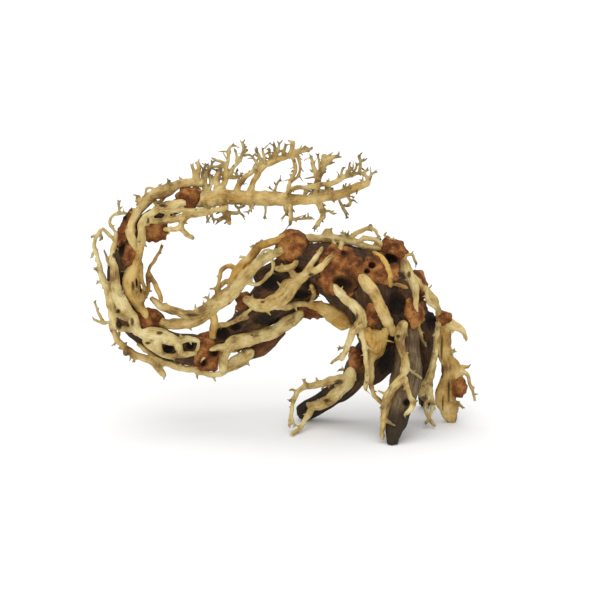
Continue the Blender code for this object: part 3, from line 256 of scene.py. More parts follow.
TAIL_ROOT = (
    span(((198, 200), (212, 200), (228, 198), (244, 199), (258, 199), (271, 200), (284, 200),
          (296, 201), (308, 201), (320, 199), (332, 197), (344, 194), (356, 189), (368, 184)),
         17, 17, 15, 14.5, 15, 15, 15, 12, 10, 10, 9.5, 9, 8.5, 5.5, depths=(86, 84, 80, 76, 74)),
    twig(((249, 193), (254, 184), (258, 176), (262, 169), (270, 165), (279, 161), (288, 158),
          (296, 156), (305, 153), (313, 150)), 8, 6.5, 6, 6, 7, 6.4, 4.6, 3.4, 2.4, lean=-12),
    twig(((282, 160), (291, 155), (299, 152), (306, 149)), 4, 2.8, 2.4, lean=-4),
    twig(((264, 167), (260, 159), (257, 151)), 4, 3, 2.4, lean=4),
    twig(((266, 166), (264, 158), (263, 150)), 3.6, 2.8, 2.4, lean=-3),
    twig(((271, 164), (270, 157), (270, 150)), 3.4, 2.6, lean=4),
    twig(((276, 162), (276, 154), (274, 147)), 4.4, 3.4, 2.4, lean=-4),
    twig(((276, 157), (279, 151), (279, 145)), 3, 2.4, lean=-2),
    twig(((284, 160), (284, 152), (286, 146)), 4.4, 3, 2.4, lean=3),
    twig(((291, 157), (292, 150), (293, 143)), 5.4, 5, lean=-2),
    twig(((261, 170), (256, 162), (250, 157), (244, 158)), 3, 2.4, lean=-6),
    twig(((258, 174), (253, 169), (257, 166)), 3, 2.4, lean=5),
    bridge(((292, 158), (295, 166), (294, 176), (290, 185), (287, 193)), 4.2, 4, lean=-3),
    bridge(((297, 157), (300, 166), (299, 176), (292, 186)), 3, 2.8, lean=3),
    twig(((316, 199), (316, 190), (318, 181), (321, 172), (323, 164), (324, 156)),
         9, 7, 6.4, 6.6, 5.6, lean=6),
    twig(((318, 180), (314, 171), (312, 163), (311, 157)), 5, 4, 3, lean=6),
    twig(((320, 173), (319, 164), (317, 156)), 3, 2.4, lean=-6),
    twig(((321, 171), (327, 164), (333, 159), (338, 157)), 6, 5, 3, lean=-4),
    twig(((316, 184), (311, 188), (305, 190)), 3, 2.4, lean=-8),
    bridge(((283, 197), (292, 191), (303, 189), (314, 188), (326, 186), (335, 184), (343, 180),
            (351, 177), (359, 175), (365, 178), (368, 183)), 6, 5, 4.4, 5.4, 5, 4.2, 3.4, 3,
           lean=-9),
    twig(((340, 182), (341, 175), (343, 169)), 3.4, 2.4, lean=3),
    twig(((344, 179), (347, 173), (352, 172)), 3, 2.4, lean=-4),
    twig(((347, 178), (349, 170), (349, 164)), 3, 2.4, lean=5),
    twig(((351, 177), (355, 171), (356, 166)), 2.6, 2.2, lean=-3),
    twig(((358, 175), (359, 166), (358, 157)), 3.4, 2.6, lean=2),
    twig(((359, 163), (365, 162)), 2.8, 2.4),
    twig(((361, 176), (367, 172)), 2.8, 2.4),
    twig(((367, 182), (370, 177), (375, 174)), 2.8, 2.2),
    twig(((328, 197), (327, 190), (327, 184)), 6, 6, 5, lean=-3),
    twig(((332, 196), (331, 189)), 4, 3.4, lean=4),
    twig(((257, 205), (252, 209), (248, 214)), 3, 2.4, lean=-3),
    twig(((265, 205), (266, 212), (265, 219)), 3, 2.4),
    twig(((285, 204), (286, 211), (287, 216)), 6, 3.4, lean=4),
    twig(((290, 204), (291, 214), (290, 226)), 6, 4.6, 3.4, lean=-5),
    twig(((291, 219), (301, 220), (312, 219)), 3, 2.4, lean=5),
    twig(((318, 202), (321, 211), (324, 220)), 7, 6, 5, lean=5),
    twig(((321, 217), (318, 224), (314, 230)), 4.4, 3.4, lean=-5),
    twig(((323, 213), (329, 212), (334, 215)), 3, 2.4, lean=4),
    twig(((337, 199), (341, 207), (344, 213), (346, 219)), 3.4, 2.6, lean=-4),
    twig(((344, 196), (349, 201), (349, 207), (343, 207)), 3.4, 2.8, 2.4, lean=4),
    twig(((348, 202), (355, 202)), 2.6, 2.2, lean=-3),
    twig(((206, 194), (205, 184), (203, 174), (207, 165)), 5, 3.6, 2.6, lean=6),
    twig(((211, 193), (212, 184), (210, 174), (214, 163)), 6, 3.4, 2.4, lean=-8),
    twig(((217, 192), (217, 183), (218, 172)), 6.4, 4.4, 3, lean=3),
    twig(((222, 192), (226, 182), (227, 171), (229, 160), (230, 151), (235, 147)),
         8, 5.4, 4, 3.4, 3, lean=-7),
    twig(((234, 192), (241, 184), (248, 177), (255, 171), (259, 164)), 7, 6, 5, 3.4, lean=-3),
    twig(((229, 182), (233, 171), (239, 163), (242, 157), (244, 150), (243, 143)),
         4.4, 3.8, 3.6, 3, lean=6),
    twig(((243, 155), (246, 148)), 3, 2.6, lean=-3),
    twig(((238, 164), (237, 157), (236, 151)), 2.6, 2.2, lean=-5),
    twig(((228, 166), (221, 163), (213, 160)), 3, 2.4, lean=5),
    twig(((227, 169), (220, 168), (213, 169), (207, 172)), 3, 2.4, lean=-4),
    twig(((220, 184), (218, 177), (221, 172)), 5, 5, 4.4, lean=-6),
    twig(((226, 178), (223, 175), (221, 170)), 4.4, 4, lean=5),
    twig(((230, 180), (236, 179), (242, 176)), 3.4, 2.6, lean=9),
    twig(((212, 190), (206, 185), (200, 182)), 4.4, 3, lean=11),
    twig(((216, 190), (220, 178), (222, 166)), 4, 2.8, 2.2, lean=20),
    twig(((240, 194), (240, 183), (236, 172)), 4, 2.8, 2.2, lean=19),
    twig(((208, 192), (207, 180), (210, 170)), 4, 2.8, 2.2, lean=-19),
    twig(((274, 196), (276, 187), (281, 180)), 4, 2.6, 2.2, lean=17),
    twig(((302, 198), (306, 192), (309, 184)), 3.4, 2.4, lean=15),
    twig(((266, 166), (262, 160), (256, 156)), 3, 2.4, lean=13),
    twig(((223, 204), (225, 211), (228, 218), (231, 226)), 9, 8.4, 7, 4, lean=4),
    twig(((228, 217), (222, 219), (218, 224)), 4.6, 3, lean=-6),
    twig(((226, 212), (233, 214), (239, 213), (245, 217)), 3.6, 3, 2.4, lean=-5),
    twig(((211, 205), (208, 214), (209, 223)), 3.4, 2.6, lean=-5),
    twig(((214, 206), (212, 215), (215, 222)), 3, 2.4, lean=6),
    twig(((232, 203), (238, 208), (243, 207)), 3, 2.4, lean=14),
)

BROW_ROOT = (
    front(((205, 184), (196, 184), (186, 184), (176, 187), (166, 190), (156, 195), (147, 203),
           (139, 213), (134, 223), (132, 233), (134, 243), (139, 251)),
          7, 9, 9, 9, 10, 11, 11, 9, 9, 10, 9, 6),
    bridge(((181, 188), (172, 194), (162, 197), (152, 201)), 5, 5, lean=-2),
    bridge(((172, 190), (166, 197), (160, 203), (154, 207)), 3.6, 3.6, lean=4),
    twig(((199, 183), (200, 173), (199, 163)), 5.4, 4.6, 3.6, lean=-2),
    twig(((196, 182), (195, 174), (193, 166)), 4.4, 3.6, lean=3),
    twig(((204, 184), (207, 177), (205, 170)), 4, 3, lean=5),
    twig(((170, 188), (170, 182)), 4, 3.4, lean=-2),
    twig(((161, 191), (161, 185)), 3, 2.4, lean=3),
    twig(((155, 194), (153, 188), (147, 190), (147, 196)), 3.4, 2.8, 2.8, lean=3),
    twig(((142, 208), (139, 201), (140, 196)), 5.4, 4.4, lean=2),
    twig(((136, 216), (134, 209)), 5, 4.4, lean=3),
)

NECK_ROOT = (
    front(((188, 204), (178, 205), (168, 207), (159, 211), (151, 215), (145, 221), (143, 230),
           (143, 239), (141, 248)), 7, 8.4, 9.4, 8.4, 7.4, 7.4, 8, 9, 8),
    twig(((147, 220), (159, 222), (171, 221), (182, 218), (193, 216), (204, 214), (216, 212),
          (229, 208)), 5, 6.4, 6.8, 6.8, 6, 5.4, 5, lean=-4),
    twig(((160, 212), (171, 213), (182, 211), (194, 211), (207, 211)), 4.4, 4.4, 4.4, 4, lean=-5),
    twig(((187, 217), (184, 223), (182, 230)), 6, 5.6, lean=-3),
    twig(((182, 229), (174, 231), (165, 230)), 5.4, 5, lean=-3),
    twig(((182, 229), (188, 235), (195, 239)), 5.4, 4, lean=4),
)

BEND_ROOT = (
    front(((141, 244), (140, 254), (137, 263), (132, 273), (130, 283), (132, 293), (138, 303),
           (143, 312), (146, 320)), 9, 9, 10, 13, 14, 15, 14, 9, 7, lift=0.35),
    bridge(((139, 257), (142, 267), (142, 279), (145, 291), (145, 303)), 4.4, 4.2, 4.4, lean=-2),
    bridge(((134, 267), (138, 276), (139, 286), (138, 298)), 3.6, 3.6, lean=2),
    twig(((145, 302), (148, 291), (148, 280), (149, 271), (154, 261), (159, 254), (163, 246)),
         5, 4.4, 3.8, 3.6, 3, lean=-5),
    twig(((149, 274), (155, 283), (159, 292), (162, 303)), 4.6, 5, 5, lean=-4),
)

CHEEK_ROOT = (
    front(((103, 229), (97, 236), (95, 245), (97, 254), (99, 263), (101, 272), (104, 281),
           (109, 290), (112, 300), (113, 310), (114, 320), (117, 330)),
          4, 4, 4, 4.4, 5.4, 7, 8, 10, 11, 11, 9, 7),
    front(((117, 231), (117, 240), (114, 249), (114, 259), (116, 269), (116, 279), (117, 289),
           (120, 299), (126, 308), (132, 317), (136, 327), (140, 335)),
          5, 6, 6, 7, 8.4, 10, 13, 14, 13, 12, 11, 10),
    front(((113, 312), (122, 314), (131, 320)), 9, 9),
    front(((116, 325), (123, 329), (134, 330)), 7, 6.4),
    front(((128, 214), (120, 214), (113, 217), (110, 222), (113, 228), (117, 234)), 3.4, 3.2, 3.4),
    twig(((120, 214), (120, 202)), 2.8, 2.2, lean=-5),
    twig(((98, 236), (92, 237)), 3, 2.4, lean=-4),
    twig(((101, 232), (103, 239)), 2.6, 2.2, lean=4),
    twig(((96, 249), (92, 258)), 2.6, 2.2, lean=5),
    twig(((101, 272), (96, 270)), 3, 2.4, lean=-3),
    twig(((104, 282), (97, 282)), 4, 3, lean=3),
    bridge(((104, 230), (109, 234), (114, 242)), 3.4, 3.4, lean=-2),
    twig(((114, 320), (103, 323), (92, 319)), 4, 3.4, 2.6, lean=4),
    twig(((103, 322), (98, 312), (94, 301)), 3.4, 3, 2.6, lean=-5),
)

ARCH_ROOT = (
    span(((151, 297), (158, 304), (169, 309), (181, 313), (193, 314), (204, 310), (215, 304),
          (226, 297), (235, 290), (242, 281), (250, 272), (259, 263), (270, 256), (283, 250)),
         4, 8, 9, 9, 9, 11, 16, 17, 13, 12.5, 12, 11, 9, 8, depths=(76, 74, 74, 72, 68)),
    span(((231, 290), (233, 280), (238, 270), (246, 263), (252, 256), (258, 248), (270, 243),
          (286, 238)), 5, 8.4, 10, 9, 9, 8.4, 8, 8, depths=(80, 80, 74)),
    bridge(((217, 298), (217, 289), (220, 281), (221, 273), (225, 267), (233, 267), (238, 271)),
           5, 4, 4, 5, 5.4, lean=-4),
    bridge(((219, 289), (225, 282), (232, 280)), 4.6, 4.6, lean=3),
    twig(((230, 280), (229, 288)), 3.4, 2.8, lean=-2),
    twig(((218, 288), (210, 289)), 3, 2.2, lean=-3),
    twig(((214, 301), (206, 297)), 3.2, 2.2, lean=3),
    twig(((209, 304), (203, 303)), 3, 2.2, lean=-4),
    twig(((249, 258), (240, 257)), 3.4, 2.4, lean=-3),
    twig(((254, 252), (252, 247)), 3.4, 2.8, lean=3),
    twig(((261, 246), (262, 241)), 3.4, 2.4, lean=3),
    bridge(((247, 285), (258, 284), (267, 277), (274, 268), (271, 259)), 4, 4, lean=3),
    bridge(((255, 268), (260, 257), (266, 251), (275, 249)), 3, 3, lean=-4),
)

THROAT_ROOT = (
    span(((160, 322), (170, 324), (181, 324), (192, 322), (202, 318), (211, 311), (218, 304)),
         9, 11.4, 11.4, 11, 11, 11, 9, depths=(80, 79, 78)),
    twig(((211, 312), (215, 321), (213, 329), (212, 339)), 8, 8, 7.4, lean=6),
)

LATTICE_ROOT = (
    front(((137, 334), (147, 334), (157, 334), (167, 338), (177, 341), (188, 339), (200, 342)),
          9, 13, 15, 14, 9, 6, 5),
    front(((144, 339), (153, 347), (161, 354), (172, 356), (184, 355), (197, 352)),
          8, 9, 6, 5.4, 6, 5),
    front(((156, 338), (158, 346), (161, 354)), 9, 9),
    front(((177, 341), (179, 349), (180, 356)), 8, 7.4),
    front(((199, 343), (198, 348), (195, 353)), 4, 4),
)

KEEL_ROOT = (
    front(((109, 323), (113, 332), (118, 341), (124, 348), (132, 354), (142, 358), (152, 363),
           (159, 370), (165, 377)), 6, 6, 6.4, 7, 8, 8, 8, 7, 6, lift=0.1),
    front(((137, 343), (146, 351), (155, 358), (166, 364), (180, 368), (192, 370), (204, 373),
           (215, 375), (227, 373)), 5, 5.4, 6.4, 7.4, 7.4, 6.6, 6, 5),
    front(((206, 355), (200, 362), (193, 369)), 3.4, 3.6),
    twig(((125, 349), (125, 356)), 6, 5.4, lean=-2),
    twig(((134, 355), (133, 362)), 4, 3, lean=2),
    twig(((124, 348), (118, 348)), 3.4, 2.6, lean=2),
)

BELLY_ROOT = (
    front(((223, 373), (223, 362), (225, 352), (231, 344), (241, 341), (254, 337), (267, 334),
           (280, 328), (292, 320), (303, 311)), 9, 10, 12, 15, 15, 15, 14, 13.4, 13, 10, lift=1.8),
    front(((209, 350), (218, 348), (228, 345)), 3.4, 7, 9),
    front(((222, 371), (232, 365), (242, 359), (253, 350)), 9, 14, 15, 8),
)

BELLY_TWIG = (
    front(((212, 332), (219, 325), (228, 324), (237, 321), (244, 316), (250, 310), (256, 304)),
          5, 5, 4.6, 4.4, 4),
    twig(((239, 320), (247, 318), (256, 314), (266, 310)), 3.6, 3, lean=-1),
    twig(((231, 323), (239, 317), (246, 311)), 3, 2.6, lean=-2),
)

WEB_ROOT = (
    front(((245, 298), (255, 304), (266, 305), (277, 301), (286, 293), (294, 283), (304, 276),
           (314, 272), (322, 266), (329, 260), (337, 254), (341, 247), (341, 240)),
          8, 12, 14, 15, 17, 18, 14, 8, 7, 7, 8, 6, 4.6),
    front(((302, 280), (308, 270), (313, 262), (318, 255), (322, 247)), 12, 8, 6, 5.4, 4.6),
    front(((334, 256), (334, 248), (333, 240)), 5.4, 4.4),
    front(((274, 305), (286, 306), (298, 304), (310, 304)), 10, 8, 6.4, 5.4),
    front(((307, 304), (319, 307), (330, 312), (340, 320), (349, 326)), 7, 11, 17, 19, 14),
    front(((311, 285), (314, 294), (310, 304)), 6, 4.6, 4.6),
    front(((274, 269), (283, 269), (291, 267), (298, 261)), 5, 7.4, 7.4, 5),
    front(((287, 268), (293, 273), (298, 281)), 5.4, 7.4),
)

CREST_ROOT = (
    front(((298, 240), (309, 238), (322, 239), (336, 239), (349, 241), (361, 245), (373, 248),
           (386, 249)), 6, 8, 9, 9, 8, 7, 6.4, 6),
    twig(((327, 238), (327, 234), (328, 229)), 13, 11, 8, lean=0),
    twig(((348, 240), (354, 235), (361, 231), (369, 229), (377, 232)), 5, 5, 4.4, 3.6, lean=-5),
    twig(((369, 230), (370, 225)), 4.6, 4, lean=2),
    twig(((376, 231), (378, 237)), 3, 2.4, lean=2),
    bridge(((355, 242), (365, 239), (375, 240), (384, 246)), 5, 5, lean=-4),
    twig(((384, 247), (388, 240), (395, 241)), 4.4, 3.4, lean=-2),
    twig(((386, 243), (385, 233)), 3, 2.4, lean=3),
    twig(((345, 239), (342, 232)), 3.4, 2.8, lean=3),
    twig(((351, 240), (347, 234)), 3.2, 2.6, lean=-5),
)

SHOULDER_ROOT = (
    front(((332, 284), (338, 291), (345, 299), (353, 305), (359, 312), (361, 321), (360, 331)),
          5, 8, 10, 10, 11, 11, 9),
    twig(((357, 322), (352, 331), (349, 341), (345, 350), (340, 360)), 10, 8, 6.4, 5, lean=7),
    twig(((348, 346), (338, 348)), 3.6, 2.6, lean=-3),
    twig(((343, 355), (331, 362)), 3.6, 2.8, lean=4),
    twig(((361, 326), (362, 338), (364, 350), (366, 362), (366, 375), (365, 389)),
         7, 5.4, 5, 4.8, 4.4, lean=4),
)

YELLOW_ROOT = (
    front(((360, 274), (364, 282), (369, 289), (375, 297), (379, 306), (383, 315), (388, 324),
           (393, 335)), 9, 13, 12, 11, 11.4, 12, 11, 9),
)

TAN_ROOT = (
    front(((372, 252), (381, 259), (386, 267), (388, 277), (389, 288)), 5.4, 6.4, 6.4, 6),
    front(((388, 284), (398, 285), (407, 289)), 3.4, 3.4),
)

SHANK_ROOT = (
    front(((375, 330), (375, 339), (375, 348), (373, 358)), 19, 21, 20, 12),
    twig(((372, 351), (371, 363), (371, 375), (371, 386), (374, 395), (381, 402), (387, 406)),
         8, 5.6, 5.2, 5, 4.6, 4, lean=-4),
    front(((367, 327), (367, 342), (370, 357)), 9, 8, 6),
    front(((383, 327), (383, 341), (378, 356)), 9, 8, 6),
)

FLANK_ROOT = (
    front(((403, 254), (402, 261), (405, 268), (409, 276), (412, 284), (414, 292), (414, 301),
           (414, 311), (416, 322), (420, 334), (427, 347)), 5, 10, 11, 9, 9, 9, 6.4, 5.6, 5, 4, 3),
    twig(((411, 273), (416, 279), (420, 285), (425, 291)), 5.6, 5.4, 4.4, lean=6),
    twig(((402, 264), (400, 273)), 5, 3.6, lean=-3),
    twig(((413, 298), (405, 302)), 4, 2.6, lean=-4),
    twig(((405, 259), (410, 254), (416, 265)), 3.4, 2.6, lean=-2),
)

FLAG_ROOT = (
    span(((423, 286), (430, 294), (436, 304), (439, 314), (438, 326), (437, 338), (436, 351),
          (434, 364), (431, 376), (429, 388), (432, 399), (436, 411)),
         6, 6, 6.4, 6.4, 6, 6, 6.4, 7, 8.4, 10, 6.4, 4, depths=(72, 78, 80, 80, 78)),
    bridge(((424, 289), (428, 301), (438, 311)), 4.4, 4.4, lean=-3),
    twig(((430, 381), (424, 388), (421, 397)), 8, 7, lean=-5),
    bridge(((421, 394), (425, 400), (431, 398)), 5, 5, lean=-2),
    twig(((430, 397), (426, 407), (429, 418), (436, 427)), 4, 3.4, 3, lean=-10),
    twig(((434, 406), (431, 415), (426, 425)), 3.6, 2.8, lean=-14),
)

FOOT_ROOT = (
    span(((447, 316), (446, 328), (445, 341), (446, 354), (449, 366), (449, 378), (446, 389),
          (447, 399), (450, 409), (455, 424)), 8, 11, 14, 16, 14, 12, 17, 22, 19, 9,
         depths=(80, 84, 85, 84)),
    span(((451, 360), (457, 368), (458, 377), (457, 389)), 9, 13, 12, 7, depths=(85, 85)),
    twig(((446, 322), (456, 326), (463, 332), (467, 340)), 12, 10, 6.4, 2.8, lean=-3),
    twig(((449, 351), (456, 351)), 4.4, 3, lean=3),
    twig(((458, 366), (465, 368), (471, 367)), 5.6, 4, 2.8, lean=5),
    twig(((461, 372), (468, 374), (471, 383), (474, 393), (476, 401)), 5, 4, 3.4, 3, lean=-4),
    twig(((452, 401), (459, 404), (465, 409)), 6, 4.4, 2.8, lean=-3),
)

SHIN_ROOT = (
    front(((405, 321), (400, 330), (399, 341), (402, 352), (404, 363), (403, 374)),
          9, 12, 10, 8, 8.4, 11),
    front(((403, 374), (396, 382), (389, 391), (386, 400), (384, 410), (382, 420), (381, 430),
           (381, 438)), 9, 8.4, 10, 11, 10, 6.4, 5, 4),
    front(((404, 375), (405, 386), (408, 395), (412, 401), (409, 408), (402, 413)),
          7, 5.4, 5.4, 6.4, 6, 4.4, lift=0.3),
    front(((410, 322), (413, 332), (416, 343), (419, 355), (422, 366), (422, 377), (420, 387)),
          5, 5, 5, 5, 4.6, 4.4),
    front(((405, 367), (412, 372), (421, 378)), 3.4, 3.4),
    front(((383, 416), (388, 421), (394, 423)), 3.4, 3),
    twig(((421, 363), (430, 364)), 3.6, 2.6, lean=-3),
)

LEG_ROOT = (
    front(((353, 368), (349, 378), (343, 388), (335, 396), (325, 403), (315, 407), (306, 404)),
          10, 15, 13, 12, 12, 10, 5),
    front(((342, 390), (334, 385)), 4.4, 3.6),
    twig(((313, 408), (308, 416), (303, 424), (297, 430), (291, 435)), 7, 6, 4.6, 3.6, lean=-38),
    twig(((345, 376), (334, 380), (323, 383), (313, 386), (304, 387), (298, 391), (294, 400),
          (292, 410), (289, 426)), 8, 8, 7.4, 6, 4.4, 4, 3.6, lean=-10),
    twig(((307, 386), (304, 379)), 4.4, 3, lean=3),
    twig(((297, 392), (291, 389)), 3, 2.4, lean=-3),
    twig(((294, 398), (289, 401)), 4, 3.4, lean=3),
    twig(((291, 415), (295, 426)), 3, 2.4, lean=-3),
)

NAPE_ROOT = (
    back(((186, 207), (170, 213), (152, 222), (142, 238), (133, 256), (127, 275), (130, 296),
          (139, 315), (155, 332), (175, 343), (197, 349)), 8, 9, 10, 10, 9, 10, 10, 9, 8),
    back(((152, 222), (134, 234), (120, 254), (113, 276), (115, 298), (125, 318), (140, 333),
          (157, 344), (175, 343)), 6, 7, 8, 7, 7, 6),
    back(((127, 275), (120, 288), (115, 298)), 5, 5),
    twig(((114, 270), (107, 262), (103, 250)), 3.4, 2.4, lean=4),
    twig(((126, 318), (118, 330), (116, 343)), 3.6, 2.6, lean=3),
    twig(((150, 338), (156, 352), (167, 362)), 5, 4, lean=-2),
    twig(((165, 216), (160, 203), (164, 193)), 3.6, 2.6, lean=3),
)

LOIN_ROOT = (
    back(((216, 348), (232, 338), (247, 325), (262, 308), (277, 292), (296, 279), (312, 268)),
         9, 10, 11, 12, 11, 10),
    back(((217, 347), (235, 349), (252, 338), (268, 322), (284, 306), (298, 290), (312, 284)),
         7, 8, 8, 8, 8, 7),
    back(((262, 308), (268, 316), (270, 321)), 6, 6),
    twig(((238, 333), (232, 322), (235, 312)), 3.6, 2.6, lean=4),
    twig(((283, 288), (276, 277), (266, 272)), 4, 2.8, lean=2),
)

BACK_ROOT = (
    back(((306, 250), (322, 255), (342, 258), (362, 260), (382, 268), (400, 282), (408, 300),
          (410, 318)), 8, 10, 11, 10, 10, 9, 8, 7),
    back(((312, 272), (330, 276), (348, 284), (364, 298), (376, 316), (384, 334)), 8, 10, 10, 9, 8),
    back(((342, 258), (352, 272), (364, 286), (382, 296), (398, 308), (404, 322)), 7, 8, 8, 7, 6),
    back(((343, 258), (334, 268), (331, 280), (337, 292), (350, 302), (362, 310), (374, 313)),
         6, 6),
    twig(((366, 261), (372, 248), (382, 238)), 4, 2.6, lean=6),
    twig(((324, 256), (320, 244), (312, 236)), 3.8, 2.6, lean=6),
    twig(((405, 292), (418, 300), (424, 312)), 4.4, 3, lean=2),
)

HOCK_ROOT = (
    back(((384, 346), (374, 364), (354, 383), (333, 396), (316, 407)), 6, 7, 7, 6, 5),
    twig(((360, 378), (352, 372), (340, 371)), 3.6, 2.6, lean=6),
    twig(((330, 398), (322, 390)), 3.4, 2.6, lean=5),
)

# The roots in the order in which they were laid: an earlier root runs whole. Each has its
# material, its strands, and how ochre it is, from cream at 0 to ochre at 1. The strands that
# are more or less so than the rest are listed by their place among its strands, from 0
ROOTS = {
    "tail_root": ("pale_root", TAIL_ROOT, 0.3, {0: 0.7, 1: 0.55, 13: 0.6}),
    "brow_root": ("pale_root", BROW_ROOT, 0.4, {}),
    "neck_root": ("pale_root", NECK_ROOT, 0.25, {0: 0.3}),
    "bend_root": ("ochre_root", BEND_ROOT, 0.85, {}),
    "arch_root": ("pale_root", ARCH_ROOT, 0.2, {1: 0.95, 2: 0.8, 3: 0.8}),
    "throat_root": ("pale_root", THROAT_ROOT, 0.5, {1: 0.8}),
    "cheek_root": ("pale_root", CHEEK_ROOT, 0.15, {}),
    "lattice_root": ("pale_root", LATTICE_ROOT, 0.05, {}),
    "keel_root": ("pale_root", KEEL_ROOT, 0.35, {}),
    "belly_root": ("pale_root", BELLY_ROOT, 0.05, {}),
    "belly_twig": ("pale_root", BELLY_TWIG, 0.25, {}),
    "shoulder_root": ("pale_root", SHOULDER_ROOT, 0.1, {}),
    "web_root": ("ochre_root", WEB_ROOT, 0.35, {4: 0.9}),
    "crest_root": ("pale_root", CREST_ROOT, 0.3, {1: 0.75}),
    "yellow_root": ("ochre_root", YELLOW_ROOT, 0.6, {}),
    "tan_root": ("pale_root", TAN_ROOT, 1.0, {}),
    "shank_root": ("ochre_root", SHANK_ROOT, 0.9, {1: 0.4}),
    "shin_root": ("pale_root", SHIN_ROOT, 0.08, {}),
    "flank_root": ("pale_root", FLANK_ROOT, 0.15, {}),
    "flag_root": ("pale_root", FLAG_ROOT, 0.12, {}),
    "foot_root": ("pale_root", FOOT_ROOT, 0.7, {2: 0.4, 5: 0.4}),
    "leg_root": ("pale_root", LEG_ROOT, 0.2, {}),
    "nape_root": ("pale_root", NAPE_ROOT, 0.3, {}),
    "loin_root": ("ochre_root", LOIN_ROOT, 0.8, {}),
    "back_root": ("pale_root", BACK_ROOT, 0.3, {}),
    "hock_root": ("pale_root", HOCK_ROOT, 0.4, {}),
}


def lump(x, y, half_width, half_height, half_thickness, side=FRONT, turn=0.0, depth=None):
    """Putty pressed on one side of the wood, or round it, or at its own depth, turned clockwise."""
    return {"place": (x, y), "reach": (half_width, half_height, half_thickness), "side": side,
            "turn": math.radians(turn), "depth": depth}


PUTTY = {
    "putty_tail": lump(190, 199, 13, 10.5, 12, side=ROUND_IT),
    "putty_collar": lump(157, 231, 13, 11, 4.5, turn=-15),
    "putty_cheek": lump(127, 228, 7, 20, 4.5, turn=22),
    "putty_jaw": lump(131, 257, 7, 12, 4, turn=8),
    "putty_chin": lump(150, 319, 15, 10.5, 4.5),
    "putty_loop": lump(244, 303, 8, 11, 13, side=ROUND_IT),
    "putty_belly": lump(205, 353, 16, 19, 17, side=ROUND_IT),
    "putty_chest": lump(292, 248, 17, 17, 18, side=ROUND_IT),
    "putty_rib": lump(313, 312, 16, 7, 5),
    "putty_heart": lump(340, 273, 22, 22, 4.5),
    "putty_blade": lump(379, 270, 16, 15, 4.5),
    "putty_crest": lump(394, 251, 16, 10, 12, side=ROUND_IT, turn=42),
    "putty_flank": lump(420, 284, 7.5, 15, 12, side=ROUND_IT, turn=-12),
    "putty_hip": lump(415, 311, 12, 14, 5),
    "putty_haunch": lump(372, 314, 8, 12, 4),
    "putty_flag": lump(443, 318, 8, 8, 8, depth=80),
    "putty_knee": lump(356, 361, 8, 13, 4.5),
    "putty_heel": lump(461, 388, 8, 10, 5, depth=82),
    "putty_spine": lump(336, 270, 22, 18, 4.5, side=BACK),
    "putty_rump": lump(398, 296, 15, 18, 4.5, side=BACK),
    "putty_nape": lump(128, 292, 14, 18, 4.5, side=BACK),
}

# Hollows that open to the front, painted dark as shade inside, as (x, y, half width, half height,
# depth)
PITS = (
    (345, 285, 13, 9, 12), (339, 281, 8, 6, 6), (388, 260, 9, 6, 16), (371, 266, 4, 3.5, 9),
    (366, 272, 3.5, 3, 7), (300, 294, 11, 5, 8), (266, 319, 15, 6, 6), (273, 283, 12, 9, 6),
    (343, 254, 3, 3, 5), (223, 334, 7, 7, 8), (236, 327, 6, 4, 6), (139, 226, 2, 7, 5),
    (123, 249, 3.5, 9, 6), (123, 278, 2.5, 8, 4), (131, 308, 4, 4, 4), (108, 264, 4, 10, 5),
    (118, 325, 3.5, 5, 5), (203, 362, 3, 5, 6), (214, 353, 4, 4, 5), (168, 349, 6, 4, 6),
    (190, 346, 4, 4, 5), (405, 401, 4, 4, 5), (395, 303, 10, 12, 14), (431, 320, 6, 11, 8),
    (386, 361, 10, 17, 6), (126, 218, 2.5, 3, 4), (149, 209, 6, 2.5, 4),
)

# Holes in the root plates, given like the hollows and painted dark as shade inside too
KNOT_HOLES = (
    (119, 311, 3, 2.5, 3), (119, 325, 3.5, 6, 4), (127, 334, 3.5, 3.5, 4),
    (160, 333, 3.5, 2, 3), (133, 322, 2, 5, 2), (148, 343, 3, 1.6, 3), (116, 256, 2.5, 3, 3),
    (121, 258, 1.6, 5, 2.5), (263, 302, 2.5, 1.2, 2), (288, 278, 4, 1.4, 2.5),
    (311, 275, 3, 1.8, 3), (252, 335, 2, 1, 1.5), (397, 336, 2.5, 2, 3), (339, 382, 5, 3, 4),
    (327, 401, 3, 2, 3), (425, 399, 4, 3, 4), (458, 383, 2.5, 3, 3), (443, 372, 2, 8, 3),
    (408, 275, 2, 4, 2.5), (165, 207, 5, 1.6, 2.5), (150, 222, 1.6, 4, 2.5),
    (134, 286, 1.6, 5, 2.5), (231, 304, 3, 1.5, 2), (356, 316, 1.6, 4, 2),
    (442, 348, 1.2, 15, 2.5), (450, 392, 1.2, 13, 2.5), (444, 404, 1.0, 9, 2),
    (193, 315, 8, 1.6, 2.5),
)

# The thorns and side twigs of a root: one about every so many millimetres, their shortest and
# longest, the share that fork, and the share of tips that have weathered dark
PLAIN_THORNS = (11.0, (1.6, 4.6), 0.15, 0.35)
THORNS = {
    "tail_root": (5.6, (3.0, 8.0), 0.55, 0.9),
    "brow_root": (10.0, (2.0, 6.0), 0.3, 0.5),
    "neck_root": (11.0, (2.0, 5.0), 0.3, 0.5),
    "bend_root": (13.0, (1.8, 4.5), 0.2, 0.5),
    "cheek_root": (9.0, (2.0, 6.0), 0.3, 0.5),
    "keel_root": (8.0, (2.0, 6.0), 0.3, 0.4),
    "crest_root": (9.0, (2.0, 5.5), 0.4, 0.6),
    "leg_root": (10.0, (2.0, 5.0), 0.3, 0.4),
    "belly_root": (24.0, (1.6, 4.0), 0.1, 0.2),
}

